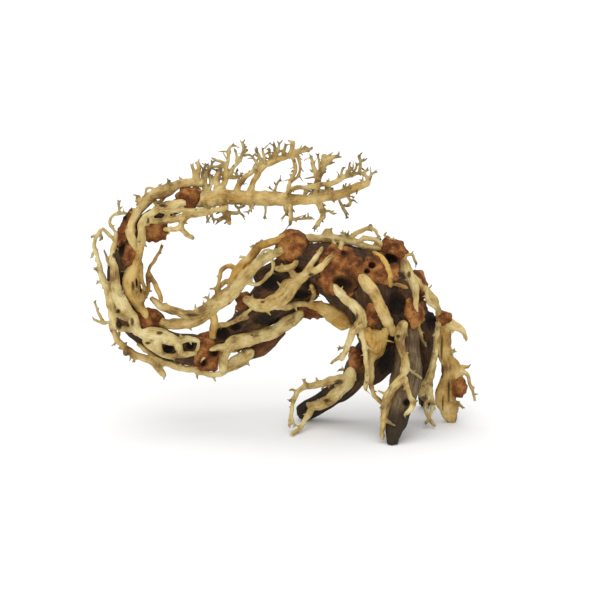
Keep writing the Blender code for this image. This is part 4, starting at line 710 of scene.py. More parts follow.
# How ragged the putty is, and the steps in the drawing over which it bridges the wood's edges
PUTTY_RAGS = 11
BALL_STEPS = 4
BALL_LUMPS = 0.6
BALL_ROUGHNESS = 0.17
NOISE_SHIFT = 30
RAG_TURN = 0.25
RAG_OUT = (0.72, 0.98)
RAG_SIZE = (0.2, 0.4)
RAG_THICKNESS = (0.5, 0.7)
RAG_LEAST_DEPTH = 0.45
PUTTY_SAMPLES = ((0, 0), (3, 0), (-3, 0), (0, 3), (0, -3))

# Random values on a cube of points, which the noise runs between
LATTICE_SIZE = 32
LATTICE = np.random.default_rng(11).uniform(-1, 1, (LATTICE_SIZE,) * 3)


def stand(places):
    """Places of the drawing, as (x, y, distance along the sight), in the part's own frame."""
    x, y, w = places[:, :3].T
    rise = FLOOR_Y - y
    depth = rise * LEAN_SIN + w * LEAN_COS
    height = rise * LEAN_COS - w * LEAN_SIN
    return np.column_stack([x - MIDDLE_X, depth - MIDDLE_DEPTH, height])


def drawn(points):
    """Points of the part's own frame as places of the drawing."""
    depth = points[:, 1] + MIDDLE_DEPTH
    rise = depth * LEAN_SIN + points[:, 2] * LEAN_COS
    w = depth * LEAN_COS - points[:, 2] * LEAN_SIN
    return np.column_stack([points[:, 0] + MIDDLE_X, FLOOR_Y - rise, w])


def board_depth(y, depth):
    """The distance along the line of sight of a point at this depth, seen at this height."""
    return (depth - (FLOOR_Y - y) * LEAN_SIN) / LEAN_COS


def noise_at(points, size):
    """Smooth noise from -1 to 1 with features of about this size."""
    scaled = points / size
    low = np.floor(scaled).astype(int)
    part = scaled - low
    part = part * part * (3 - 2 * part)
    total = np.zeros(len(points))
    for corner in itertools.product((0, 1), repeat=3):
        place = (low + corner) % LATTICE_SIZE
        weight = np.where(corner, part, 1 - part).prod(axis=1)
        total += LATTICE[tuple(place.T)] * weight
    return total


def run_along(line):
    """The distance along a line of each of its points."""
    steps = np.linalg.norm(np.diff(line[:, :3], axis=0), axis=1)
    return np.concatenate([[0.0], np.cumsum(steps)])


def curve_through(points, spacing):
    """Evenly spaced points on a smooth curve through the given ones, measured in x, y and z."""
    points = np.asarray(points, float)
    padded = np.vstack([2 * points[0] - points[1], points, 2 * points[-1] - points[-2]])
    t = np.linspace(0, 1, CURVE_STEPS, endpoint=False)[:, None]
    pieces = []
    for before, start, end, after in zip(padded, padded[1:], padded[2:], padded[3:]):
        pieces.append(0.5 * (2 * start + (end - before) * t
                             + (2 * before - 5 * start + 4 * end - after) * t ** 2
                             + (3 * start - before - 3 * end + after) * t ** 3))
    fine = np.vstack([*pieces, points[-1:]])
    reached = run_along(fine)
    steps = max(2, round(reached[-1] / spacing))
    wanted = np.linspace(0, reached[-1], steps + 1)
    return np.column_stack([np.interp(wanted, reached, column) for column in fine.T])


def unit(vectors):
    """The same vectors, one unit long."""
    return vectors / np.maximum(np.linalg.norm(vectors, axis=-1, keepdims=True), 1e-9)


# Every limb of every piece of wood, as points of the drawing's own space with their radii
WOOD_LINES = {name: [np.array([(x, y, board_depth(y, depth), radius)
                               for x, y, depth, radius in limb]) for limb in limbs]
              for name, limbs in WOOD.items()}
STRETCHES = [(a, b) for lines in WOOD_LINES.values() for line in lines
             for a, b in zip(line, line[1:])]


def wood_face(places, side):
    """The distance along the line of sight of the wood's front or back face at each place."""
    best = np.full(len(places), -np.inf)
    nearest = np.full(len(places), np.inf)
    middle_there = np.zeros(len(places))
    for start, end in STRETCHES:
        run = (end - start)[:2]
        along = np.clip((places[:, :2] - start[:2]) @ run / (run @ run), 0, 1)
        middle = start + (end - start) * along[:, None]
        off = np.linalg.norm(places[:, :2] - middle[:, :2], axis=1)
        radius = middle[:, 3]
        rise = np.sqrt(np.maximum(radius ** 2 - off ** 2, 0))
        face = side * middle[:, 2] + rise
        best = np.where((off < radius) & (face > best), face, best)
        closer = off - radius < nearest
        nearest = np.where(closer, off - radius, nearest)
        middle_there = np.where(closer, middle[:, 2], middle_there)
    if side == ROUND_IT:
        return middle_there
    return np.where(np.isfinite(best), side * best, middle_there)


def evened(values):
    """The same numbers with their jumps smoothed out, and the ends kept."""
    values = values.copy()
    for _ in range(BED_SMOOTHING):
        values[1:-1] = (values[:-2] + 2 * values[1:-1] + values[2:]) / 4
    return values


def nearest_place(lines, place):
    """The point on the middle lines grown so far that lies nearest in the drawing."""
    places = np.vstack(lines)
    return places[np.argmin(np.linalg.norm(places[:, :2] - place[:2], axis=1))]


def half_thickness(kind, radii):
    """How far strands of these radii reach along the line of sight: wide ones are flatter."""
    share = LAID_FLATNESS if kind == "laid" else FREE_FLATNESS
    return np.minimum(radii, FLAT_FROM + (radii - FLAT_FROM) * share)


def strand_depths(strand, flat, share, radii, grown, draw):
    """The distance along the line of sight at each point of a strand."""
    if strand["kind"] == "laid":
        side = strand["side"]
        lift = strand["lift"] * half_thickness("laid", radii)
        return evened(wood_face(flat, side)) + side * lift
    if strand["kind"] == "span":
        steps = np.linspace(0, 1, len(strand["depths"]))
        return board_depth(flat[:, 1], np.interp(share, steps, strand["depths"]))
    foot = nearest_place(grown, flat[0])[2]
    lean = strand["lean"]
    if strand["kind"] == "bridge":
        tip = nearest_place(grown, flat[-1])[2]
        return foot + (tip - foot) * share + lean * np.sin(math.pi * share)
    if lean is None:
        lean = draw.uniform(-TWIG_SPLAY, TWIG_SPLAY) * np.linalg.norm(flat[-1] - flat[0])
    return foot + lean * share


def strand_line(strand, grown, draw):
    """One strand as points (x, y, distance along the sight, radius), one for each ring."""
    places = np.array(strand["points"], float)
    if strand["kind"] in ("twig", "bridge"):
        places[0] = nearest_place(grown, places[0])[:2]
    if strand["kind"] == "bridge":
        places[-1] = nearest_place(grown, places[-1])[:2]
    flat = curve_through(np.column_stack([places, np.zeros(len(places))]), BED_SPACING)[:, :2]
    share = np.linspace(0, 1, len(flat))
    steps = np.linspace(0, 1, len(strand["widths"]))
    radii = np.maximum(np.interp(share, steps, strand["widths"]), THINNEST_TWIG) / 2
    depths = strand_depths(strand, flat, share, radii, grown, draw)
    return curve_through(np.column_stack([flat, depths, radii]), RING_SPACING)


def swayed(line, kind, draw):
    """The line with the small bends that every root has; ends that grow from others stay put."""
    line = line.copy()
    run = run_along(line)
    held = np.ones(len(line))
    if kind in ("twig", "bridge"):
        held = np.clip(run / HELD_RUN, 0, 1)
    if kind == "bridge":
        held = held * np.clip((run[-1] - run) / HELD_RUN, 0, 1)
    sway = np.minimum(SWAY_LEAST + SWAY_PER_RADIUS * line[:, 3], SWAY_MOST) * held
    for axis in range(3):
        for length, share in SWAY_WAVES:
            line[:, axis] += sway * share * np.sin(run / length + draw.uniform(0, FULL_TURN))
    return line


def gnarled(line, kind, draw):
    """The line with the swellings, the knots and the flared feet that roots have."""
    run = run_along(line)
    line = swayed(line, kind, draw)
    slim = np.clip(SLIM_RADIUS / line[:, 3], SLIM_LEAST, 1)
    (long_wave, long_share), (short_wave, short_share) = LONG_SWELL, SHORT_SWELL
    swelling = 1 + slim * (long_share * np.sin(run / long_wave + draw.uniform(0, SWELL_PHASE))
                           + short_share * np.sin(run / short_wave))
    knot = draw.uniform(*FIRST_KNOT)
    while knot < run[-1]:
        swelling += (slim * draw.uniform(*KNOT_RISE)
                     * np.exp(-((run - knot) / draw.uniform(*KNOT_LENGTH)) ** 2))
        knot += draw.uniform(*KNOT_GAP)
    if kind in ("twig", "bridge"):
        swelling += FLARE * np.exp(-run / FLARE_RUN)
    line[:, 3] *= swelling
    if kind == "laid":
        near_end = np.clip(1 - np.minimum(run, run[-1] - run) / END_REACH, 0, 1) ** 2
        line[:, 3] *= 1 - END_LOSS * near_end
    return line


class Strand:
    """A root's middle line in the part's own frame, with its radii and what colours it."""

    def __init__(self, path, radii, outward=None, tip=None, squeeze=None):
        self.path = path
        self.radii = radii
        self.outward = outward
        self.tip = np.zeros(len(path)) if tip is None else tip
        self.squeeze = squeeze
        self.tone = 0.0
        self.hue = 0.0
        self.run = run_along(path)
        self.along, self.across, self.up = frames_along(path)


def frames_along(path):
    """For each point of a path its along, across and up directions, turned as little as can be."""
    along = unit(np.gradient(path, axis=0))
    side = np.eye(3)[np.argmin(np.abs(along[0]))]
    across = np.empty_like(path)
    for index, direction in enumerate(along):
        side = unit(side - direction * (side @ direction))
        across[index] = side
    return along, across, np.cross(along, across)


def weathered(run, share, draw):
    """How dark each point of a twig is, which only some tips are."""
    if draw.random() > share:
        return np.zeros(len(run))
    reach = draw.uniform(*DARK_REACH)
    return np.clip(1 - (run[-1] - run) / reach, 0, 1) ** DARK_FADE * draw.uniform(*DARKNESS)


def bend_drawn(most, draw):
    return np.array([draw.uniform(-most, most) for _ in range(3)])


def spur(root, direction, length, radius, bend, dark_share, draw):
    """A short pointed side twig that starts inside the strand it grows from."""
    path = (root + direction * (length * SPUR_STEPS)[:, None]
            + bend * (length * SPUR_STEPS ** 2)[:, None])
    radii = np.array([radius * SPUR_FOOT, radius, radius * SPUR_NECK,
                      max(SPUR_TIP_RADIUS, radius * SPUR_TIP)])
    return Strand(path, radii, tip=weathered(run_along(path), dark_share, draw))


def spurs_along(strand, rule, draw):
    """The thorns and side twigs along a strand."""
    every, lengths, fork_share, dark_share = rule
    found = []
    place = draw.uniform(*FIRST_SPUR) * every
    while place < strand.run[-1] - 1:
        index = int(np.searchsorted(strand.run, place))
        radius = strand.radii[index]
        along = strand.along[index]
        if strand.outward is None:
            turn = draw.uniform(0, FULL_TURN)
            aside = strand.across[index] * math.cos(turn) + strand.up[index] * math.sin(turn)
        else:
            aside = unit(np.cross(along, strand.outward)) * draw.choice((-1, 1))
            aside = unit(aside + strand.outward * draw.uniform(*SPUR_OUT))
        direction = unit(aside + along * draw.uniform(*SPUR_ALONG))
        length = radius + draw.uniform(*lengths)
        least, most = SPUR_RADII
        thickness = min(max(SPUR_SHARE * radius, least), most) * draw.uniform(*SPUR_VARIES)
        bend = bend_drawn(SPUR_BEND, draw)
        thorn = spur(strand.path[index], direction, length, thickness, bend, dark_share, draw)
        found.append(thorn)
        if draw.random() < fork_share:
            off = unit(np.cross(direction, aside + bend))
            side = unit(direction + off * draw.uniform(*FORK_ASIDE))
            found.append(spur(thorn.path[1], side, length * FORK_LENGTH, thickness * FORK_RADIUS,
                              bend, dark_share, draw))
        place += draw.uniform(*SPUR_GAP) * every * (1 + SPUR_GAP_PER_RADIUS * radius)
    return found


def prongs_at_tip(strand, dark_share, draw):
    """The one to three prongs in which a free twig ends."""
    found = []
    turn = draw.uniform(0, FULL_TURN)
    for number in range(draw.choice(PRONG_COUNTS)):
        angle = turn + number * PRONG_TURN
        aside = strand.across[-1] * math.cos(angle) + strand.up[-1] * math.sin(angle)
        direction = unit(strand.along[-1] + aside * draw.uniform(*PRONG_ASIDE))
        bend = bend_drawn(PRONG_BEND, draw)
        length = draw.uniform(*PRONG_LENGTH)
        found.append(spur(strand.path[-2], direction, length, PRONG_RADIUS, bend, dark_share, draw))
    return found


def grown_root(name):
    """All strands of a root with their thorns."""
    _, table, plain_hue, own_hues = ROOTS[name]
    rule = THORNS.get(name, PLAIN_THORNS)
    dark_share = rule[3]
    lines = []
    strands = []
    for index, strand in enumerate(table):
        draw = random.Random(f"{name} {index}")
        line = strand_line(strand, lines, draw)
        lines.append(line)
        kind = strand["kind"]
        line = gnarled(line, kind, draw)
        path = stand(line)
        tip = weathered(run_along(path), dark_share, draw) if kind == "twig" else None
        outward = TOWARDS_BACK * strand["side"] if kind == "laid" else None
        squeeze = half_thickness(kind, line[:, 3]) / line[:, 3]
        grown = Strand(path, line[:, 3], outward, tip, squeeze)
        tone = draw.uniform(-1, 1)
        pieces = [grown, *spurs_along(grown, rule, draw)]
        if kind == "twig" and line[-1, 3] < PRONGED_RADIUS:
            pieces += prongs_at_tip(grown, dark_share, draw)
        for piece in pieces:
            piece.tone = tone
            piece.hue = own_hues.get(index, plain_hue)
        strands += pieces
    return strands


def strand_rings(strand, sides):
    """The rings of a tube along a strand, flattened where it doesn't run along the sight."""
    angles = np.linspace(0, FULL_TURN, sides, endpoint=False)
    spokes = (strand.across[:, None] * np.cos(angles)[:, None]
              + strand.up[:, None] * np.sin(angles)[:, None])
    if strand.squeeze is not None:
        along_sight = strand.along @ TOWARDS_BACK
        sight = unit(TOWARDS_BACK - strand.along * along_sight[:, None])
        less = (1 - strand.squeeze) * np.clip(2 - 2 * np.abs(along_sight), 0, 1)
        reach = (spokes * sight[:, None]).sum(2, keepdims=True)
        spokes = spokes - sight[:, None] * reach * less[:, None, None]
    radii = strand.radii.copy()
    radii[-1] *= LAST_RING
    return strand.path[:, None] + spokes * radii[:, None, None]


def tube_mesh(tubes):
    """One mesh of closed tubes, each given as rings of points."""
    points = []
    faces = []
    count = 0
    for rings in tubes:
        ring_count, sides, _ = rings.shape
        points.append(rings.reshape(-1, 3))
        numbers = count + np.arange(ring_count * sides).reshape(ring_count, sides)
        near, far = numbers[:-1], numbers[1:]
        quads = np.stack([near, np.roll(near, -1, 1), np.roll(far, -1, 1), far], axis=-1)
        faces += quads.reshape(-1, 4).tolist()
        faces.append(numbers[0][::-1].tolist())
        faces.append(numbers[-1].tolist())
        count += ring_count * sides
    return raw_mesh(points, faces)


def raw_mesh(points, faces):
    mesh = bpy.data.meshes.new("raw")
    mesh.from_pydata(np.vstack(points).tolist(), [], faces)
    return mesh


def fused(name, mesh, voxel, smoothing):
    """The outer skin of everything in a mesh, as small even faces."""
    obj = bpy.data.objects.new(name, mesh)
    bpy.context.collection.objects.link(obj)
    skin = obj.modifiers.new("skin", "REMESH")
    skin.mode = "VOXEL"
    skin.voxel_size = voxel
    smooth = obj.modifiers.new("smooth", "SMOOTH")
    smooth.factor = 0.5
    smooth.iterations = smoothing
    bpy.context.view_layer.update()
    graph = bpy.context.evaluated_depsgraph_get()
    result = bpy.data.meshes.new_from_object(obj.evaluated_get(graph))
    bpy.data.objects.remove(obj)
    bpy.data.meshes.remove(mesh)
    result.name = name + "_fine"
    drop_scraps(result)
    cut_sole(result)
    return result


def read(items, field, width, kind):
    """One field of all vertices or edges of a mesh, a row for each."""
    flat = np.empty(len(items) * width, kind)
    items.foreach_get(field, flat)
    return flat.reshape(-1, width)


def edges_of(mesh):
    return read(mesh.edges, "vertices", 2, np.int32)


def vertices_of(mesh):
    return read(mesh.vertices, "co", 3, np.float32).astype(float)


def normals_of(mesh):
    return read(mesh.vertices, "normal", 3, np.float32).astype(float)


def labelled(count, edges):
    """A number for each vertex that is the same for all that hang together."""
    label = np.arange(count)
    while True:
        low = np.minimum(label[edges[:, 0]], label[edges[:, 1]])
        joined = label.copy()
        np.minimum.at(joined, label[edges[:, 0]], low)
        np.minimum.at(joined, label[edges[:, 1]], low)
        joined = joined[joined]
        joined = joined[joined]
        if (joined == label).all():
            return label
        label = joined


def drop_scraps(mesh):
    """Removes every loose bit but the largest body."""
    label = labelled(len(mesh.vertices), edges_of(mesh))
    numbers, counts = np.unique(label, return_counts=True)
    if len(numbers) == 1:
        return
    keep = label == numbers[np.argmax(counts)]
    edit = bmesh.new()
    edit.from_mesh(mesh)
    scraps = [vertex for vertex, kept in zip(edit.verts, keep) if not kept]
    bmesh.ops.delete(edit, geom=scraps, context="VERTS")
    edit.to_mesh(mesh)
    edit.free()


def cut_sole(mesh):
    """Cuts what reaches below the floor off flat and closes the cut."""
    if vertices_of(mesh)[:, 2].min() >= 0:
        return
    edit = bmesh.new()
    edit.from_mesh(mesh)
    geometry = [*edit.verts, *edit.edges, *edit.faces]
    cut = bmesh.ops.bisect_plane(edit, geom=geometry, plane_co=(0, 0, 0), plane_no=(0, 0, 1),
                                 clear_inner=True)
    rim = [item for item in cut["geom_cut"] if isinstance(item, bmesh.types.BMEdge)]
    bmesh.ops.triangle_fill(edit, edges=rim, use_beauty=True, normal=(0, 0, -1))
    edit.to_mesh(mesh)
    edit.free()


def spread_out(values, edges, passes):
    """Values at vertices, averaged with those of their neighbours."""
    count = np.bincount(edges.ravel(), minlength=len(values))
    for _ in range(passes):
        total = np.bincount(edges[:, 0], values[edges[:, 1]], len(values))
        total += np.bincount(edges[:, 1], values[edges[:, 0]], len(values))
        values = (values + total) / (1 + count)
    return values


def store(mesh, name, values):
    """Keeps a number, or a vector, for each vertex."""
    kind, field = ("FLOAT_VECTOR", "vector") if values.ndim == 2 else ("FLOAT", "value")
    layer = mesh.attributes.new(name, kind, "POINT")
    layer.data.foreach_set(field, values.astype(np.float32).ravel())


def grain_of(points, strands):
    """Each point's place in its strand's grain, and the strand's radius, tip, tone and hue."""
    path = np.vstack([strand.path for strand in strands])
    along = np.vstack([strand.along for strand in strands])
    across = np.vstack([strand.across for strand in strands])
    up = np.vstack([strand.up for strand in strands])
    run = np.concatenate([strand.run + GRAIN_SHIFT * number
                          for number, strand in enumerate(strands)])
    radii, tip, tone, hue = [
        np.concatenate([np.full(len(strand.path), getattr(strand, field)) for strand in strands])
        for field in ("radii", "tip", "tone", "hue")]
    tree = KDTree(len(path))
    for number, place in enumerate(path):
        tree.insert(place, number)
    tree.balance()
    owner = np.empty(len(points), int)
    for number, point in enumerate(points):
        near = tree.find_n(point, NEAR_RINGS)
        owner[number] = min(near, key=lambda hit: hit[2] / radii[hit[1]])[1]
    off = points - path[owner]
    grain = np.column_stack([(off * across[owner]).sum(1), (off * up[owner]).sum(1),
                             run[owner] + (off * along[owner]).sum(1)])
    return grain, radii[owner], tip[owner], tone[owner], hue[owner]


def height_over_wood(points):
    """How far each point lies outside the wood, in millimetres."""
    places = drawn(points)
    nearest = np.full(len(points), np.inf)
    for start, end in STRETCHES:
        run = (end - start)[:3]
        along = np.clip((places - start[:3]) @ run / (run @ run), 0, 1)
        middle = start + (end - start) * along[:, None]
        off = np.linalg.norm(places - middle[:, :3], axis=1) - middle[:, 3]
        nearest = np.minimum(nearest, off)
    return nearest


def faces_front(normals):
    """Which points face the front."""
    return normals @ TOWARDS_BACK < FACING_FRONT


def pitted(points, open_to, pits):
    """The points with the hollows pushed in where open_to says so, and how strongly each point is
    painted dark as shade.
    """
    places = drawn(points)
    deep = np.zeros(len(points))
    for x, y, half_width, half_height, depth in pits:
        off = ((places[:, 0] - x) / half_width) ** 2 + ((places[:, 1] - y) / half_height) ** 2
        inside = np.where(open_to, np.clip(1 - off, 0, 1), 0)
        points = points + TOWARDS_BACK * (depth * inside ** PIT_ROUNDNESS)[:, None]
        deep = np.maximum(deep, inside ** PIT_SHADE)
    # deep is the painted shade in the hollows, darkest in their middles
    return points, deep


def finish_piece(name, mesh, points, material):
    """Turns the mesh into a piece that stands for its plain solid."""
    points[:, 2] = np.maximum(points[:, 2], 0)
    mesh.vertices.foreach_set("co", (points * METRES).astype(np.float32).ravel())
    mesh.materials.clear()
    mesh.materials.append(material)
    mesh.shade_smooth()
    mesh.update()
    piece = bpy.data.objects.new(name + "_fine", mesh)
    bpy.context.collection.objects.link(piece)
    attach(piece, "root")
    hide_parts(name)


def make_root(name):
    """A root with its thorns, its fluted skin and what colours it."""
    strands = grown_root(name)
    tubes = [strand_rings(strand, SPUR_SIDES if len(strand.path) == len(SPUR_STEPS) else ROOT_SIDES)
             for strand in strands]
    voxel = TAIL_VOXEL if name == "tail_root" else ROOT_VOXEL
    mesh = fused(name, tube_mesh(tubes), voxel, ROOT_SMOOTHING)
    points = vertices_of(mesh)
    normals = normals_of(mesh)
    grain, radii, tip, tone, hue = grain_of(points, strands)
    flutes = noise_at(grain / FLUTE_SIZE, 1) * np.clip(radii, *FLUTE_RADII) * FLUTE_SHARE
    bulges = noise_at(points, BULGE_SIZE) * np.clip(radii, *BULGE_RADII) * BULGE_SHARE
    lumps = noise_at(points, LUMP_SIZE) * LUMP_HEIGHT + bulges
    points = points + normals * (flutes + lumps)[:, None]
    points, deep = pitted(points, faces_front(normals), KNOT_HOLES)
    store(mesh, "grain", grain)
    # Painted shade inside the knot holes
    store(mesh, "pit_painted_shade", deep)
    slim = np.clip((SLIM_BELOW - radii) / SLIM_FADE, 0, 1)
    edges = edges_of(mesh)
    for values, (field, passes) in zip((tip, tone, hue, slim), SPREAD_PASSES.items()):
        store(mesh, field, spread_out(values, edges, passes))
    # Painted shade on the root where it lies close to the wood
    store(mesh, "painted_bed_shade", np.clip(1 - height_over_wood(points) / BED_SHADE_REACH, 0, 1))
    slot = ROOTS[name][0]
    finish_piece(name, mesh, points, MATERIALS[slot])


def wood_strand(line):
    """A limb of wood as a strand with round ends."""
    curve = curve_through(line, WOOD_RING_SPACING)
    path = stand(curve)
    radii = curve[:, 3]
    first = unit(path[0] - path[1])
    last = unit(path[-1] - path[-2])
    start = [path[0] + first * radii[0] * share for share in CAP_STEPS]
    end = [path[-1] + last * radii[-1] * share for share in CAP_STEPS[::-1]]
    radii = np.concatenate([radii[0] * CAP_RADII, radii, radii[-1] * CAP_RADII[::-1]])
    return Strand(np.vstack([*start, path, *end]), radii)


def make_wood(name):
    """A piece of dark wood with deep grain and pits, painted dark as shade inside."""
    strands = [wood_strand(line) for line in WOOD_LINES[name]]
    tubes = [strand_rings(strand, WOOD_SIDES) for strand in strands]
    mesh = fused(name, tube_mesh(tubes), WOOD_VOXEL, WOOD_SMOOTHING)
    points = vertices_of(mesh)
    normals = normals_of(mesh)
    grain, radii, *_ = grain_of(points, strands)
    bulges = noise_at(points, WOOD_BULGE_SIZE) * np.clip(radii, *WOOD_BULGE_RADII)
    dents = noise_at(points + DENT_SHIFT, DENT_SIZE) * DENT_HEIGHT
    furrows = np.abs(noise_at(grain / FURROW_SIZE, 1)) * -FURROW_DEPTH
    ridges = furrows + noise_at(grain / FIBRE_SIZE, 1) * FIBRE_HEIGHT
    height = bulges * WOOD_BULGE_SHARE + dents - WOOD_SHRINK + ridges
    points = points + normals * height[:, None]
    points, deep = pitted(points, faces_front(normals), PITS)
    store(mesh, "grain", grain)
    # Painted shade inside the pits
    store(mesh, "pit_painted_shade", deep)
    # Darker towards the floor
    store(mesh, "dark_towards_floor", np.clip((DARK_FOOT_HEIGHT - points[:, 2]) / DARK_FOOT_FADE, 0, 1))
    material = MATERIALS[OWN_WOOD.get(name, "dark_wood")]
    finish_piece(name, mesh, points, material)


def putty_middle(places, shape):
    """The distance along the line of sight of the middle of the putty at each place."""
    if shape["depth"] is not None:
        return board_depth(places[:, 1], shape["depth"])
    if shape["side"] == ROUND_IT:
        middle = wood_face(np.array([shape["place"]], float), ROUND_IT)[0]
        return np.full(len(places), middle)
    faces = [wood_face(places + step, shape["side"]) for step in PUTTY_SAMPLES]
    return sum(faces) / len(PUTTY_SAMPLES)


def turned(x, y, right, down, turn):
    """The place so far to the right of and below (x, y), on a sheet turned clockwise."""
    return (x + right * math.cos(turn) - down * math.sin(turn),
            y + right * math.sin(turn) + down * math.cos(turn))


def blob(x, y, reach, shape, draw):
    """A rough ball squeezed flat and bent to the wood, in the drawing's own space."""
    ball = bmesh.new()
    bmesh.ops.create_icosphere(ball, subdivisions=BALL_STEPS, radius=1.0)
    points = np.array([vertex.co for vertex in ball.verts])
    faces = [[vertex.index for vertex in face.verts] for face in ball.faces]
    ball.free()
    shift = np.array([draw.uniform(0, NOISE_SHIFT) for _ in range(3)])
    points = points * (1 + BALL_ROUGHNESS * noise_at(points + shift, BALL_LUMPS))[:, None]
    right, down, deep = (points * reach).T
    places = np.column_stack(turned(x, y, right, down, shape["turn"]))
    return np.column_stack([places, putty_middle(places, shape) + deep]), faces


def putty_blobs(shape, draw):
    """The main lump and the smaller ones that make its ragged edge."""
    x, y = shape["place"]
    reach = shape["reach"]
    found = [blob(x, y, reach, shape, draw)]
    for number in range(PUTTY_RAGS):
        angle = number * FULL_TURN / PUTTY_RAGS + draw.uniform(-RAG_TURN, RAG_TURN)
        out = draw.uniform(*RAG_OUT)
        right = reach[0] * out * math.cos(angle)
        down = reach[1] * out * math.sin(angle)
        size = draw.uniform(*RAG_SIZE) * min(reach[0], reach[1])
        thick = max(size * draw.uniform(*RAG_THICKNESS), reach[2] * RAG_LEAST_DEPTH)
        found.append(blob(*turned(x, y, right, down, shape["turn"]), (size, size, thick), shape,
                          draw))
    return found


def make_putty(name):
    """A lump of crumbly putty with a ragged edge."""
    points = []
    faces = []
    count = 0
    for ball_points, ball_faces in putty_blobs(PUTTY[name], random.Random(name)):
        faces += [[corner + count for corner in face] for face in ball_faces]
        points.append(stand(ball_points))
        count += len(ball_points)
    mesh = fused(name, raw_mesh(points, faces), PUTTY_VOXEL, PUTTY_SMOOTHING)
    points = vertices_of(mesh)
    normals = normals_of(mesh)
    crumbs = sum(noise_at(points + shift, size) * height for size, shift, height in CRUMBS)
    points = points + normals * crumbs[:, None]
    points, deep = pitted(points, True, PITS)
    # Painted shade inside the hollows
    store(mesh, "pit_painted_shade", deep)
    finish_piece(name, mesh, points, MATERIALS["putty"])


def colour(red, green, blue):
    """A colour given in screen values from 0 to 255."""
    linear = [value / 255 / 12.92 if value <= 10 else ((value / 255 + 0.055) / 1.055) ** 2.4
              for value in (red, green, blue)]
    return (*linear, 1.0)


class Finish:
    """A material that is built up node by node."""

    def __init__(self, name, specular):
        self.material = bpy.data.materials.new(name)
        self.material.use_nodes = True
        self.tree = self.material.node_tree
        self.shader = self.tree.nodes["Principled BSDF"]
        self.shader.inputs["Specular IOR Level"].default_value = specular

    def node(self, kind, inputs=None, **settings):
        made = self.tree.nodes.new(kind)
        for key, value in settings.items():
            setattr(made, key, value)
        for key, value in (inputs or {}).items():
            self.set(made.inputs[key], value)
        return made

    def set(self, socket, value):
        if isinstance(value, bpy.types.NodeSocket):
            self.tree.links.new(value, socket)
        else:
            socket.default_value = value

    def attribute(self, name, output="Fac"):
        return self.node("ShaderNodeAttribute", attribute_name=name).outputs[output]

    def stretched(self, vector, *scale):
        made = self.node("ShaderNodeVectorMath", {0: vector, 1: scale}, operation="MULTIPLY")
        return made.outputs[0]

    def millimetres(self):
        """The place on the object in millimetres."""
        place = self.node("ShaderNodeTexCoord").outputs["Object"]
        return self.stretched(place, *(1 / METRES,) * 3)

    def noise(self, vector, scale, detail=3.0, roughness=0.55):
        made = self.node("ShaderNodeTexNoise", {"Vector": vector, "Scale": scale, "Detail": detail,
                                                "Roughness": roughness})
        return made.outputs["Fac"]

    def maths(self, operation, first, second, third=0.0):
        made = self.node("ShaderNodeMath", {0: first, 1: second, 2: third}, operation=operation)
        return made.outputs[0]

    def scaled(self, value, share):
        return self.maths("MULTIPLY", value, share)

    def added(self, value, share, rest):
        """The value times its share, plus the rest."""
        return self.maths("MULTIPLY_ADD", value, share, rest)

    def ramp(self, factor, stops):
        """The colours of the stops, each (place, red, green, blue), spread over the factor."""
        made = self.node("ShaderNodeValToRGB", {"Fac": factor})
        elements = made.color_ramp.elements
        while len(elements) < len(stops):
            elements.new(0.5)
        for element, (position, *shade) in zip(elements, stops):
            element.position = position
            element.color = colour(*shade)
        return made.outputs["Color"]

    def between(self, factor, low, high):
        """The factor's range from low to high, spread over 0 to 1."""
        made = self.node("ShaderNodeMapRange", {"Value": factor, "From Min": low, "From Max": high})
        return made.outputs["Result"]

    def mix(self, factor, first, second):
        made = self.node("ShaderNodeMix", {0: factor, 6: first, 7: second}, data_type="RGBA")
        return made.outputs[2]

    def stained_or_shaded(self, base, where, share, shade):
        """The base with a stain or a painted shade of this strength and colour over it."""
        return self.mix(self.scaled(where, share), base, colour(*shade))

    def bump(self, height, millimetres):
        made = self.node("ShaderNodeBump", {"Height": height, "Distance": millimetres * METRES})
        return made.outputs["Normal"]

    def done(self, base, roughness, normal):
        self.set(self.shader.inputs["Base Color"], base)
        self.set(self.shader.inputs["Roughness"], roughness)
        self.set(self.shader.inputs["Normal"], normal)
        return self.material


# Colours from the darkest to the lightest, each as (place on the ramp, red, green, blue)
CREAM = ((0.44, 124, 92, 44), (0.56, 186, 162, 98), (0.74, 223, 207, 154))
OCHRE = ((0.44, 104, 70, 22), (0.56, 160, 118, 44), (0.74, 200, 162, 82))
DARK_WOOD = ((0.38, 32, 21, 10), (0.52, 66, 44, 22), (0.66, 104, 76, 42))
LEG_WOOD = ((0.38, 58, 44, 28), (0.52, 98, 80, 54), (0.66, 136, 118, 84))
STUB_WOOD = ((0.38, 58, 32, 14), (0.52, 102, 62, 32), (0.66, 140, 94, 54))
PUTTY_BROWN = ((0.4, 70, 36, 12), (0.5, 116, 66, 26), (0.61, 164, 112, 58))

# The colours of stains and of painted shade, as (red, green, blue)
SLIM_SHADE = (140, 124, 74)
BARK_SHADE = (104, 68, 36)
# Painted shade where roots lie on the wood
BED_PAINTED_SHADE = (92, 56, 26)
TIP_SHADE = (66, 54, 38)
# Painted shade inside knot holes
KNOT_HOLE_PAINTED_SHADE = (50, 28, 12)
SMEAR_SHADE = (92, 56, 28)
# Painted shade, near black, inside the wood's pits
WOOD_PIT_PAINTED_SHADE = (14, 10, 8)
# The colour of the wood's darker foot
DARK_FOOT_SHADE = (32, 22, 14)
# Painted shade inside the putty's hollows
PUTTY_PIT_PAINTED_SHADE = (26, 17, 12)
OCHRE_DRIFT = 0.3


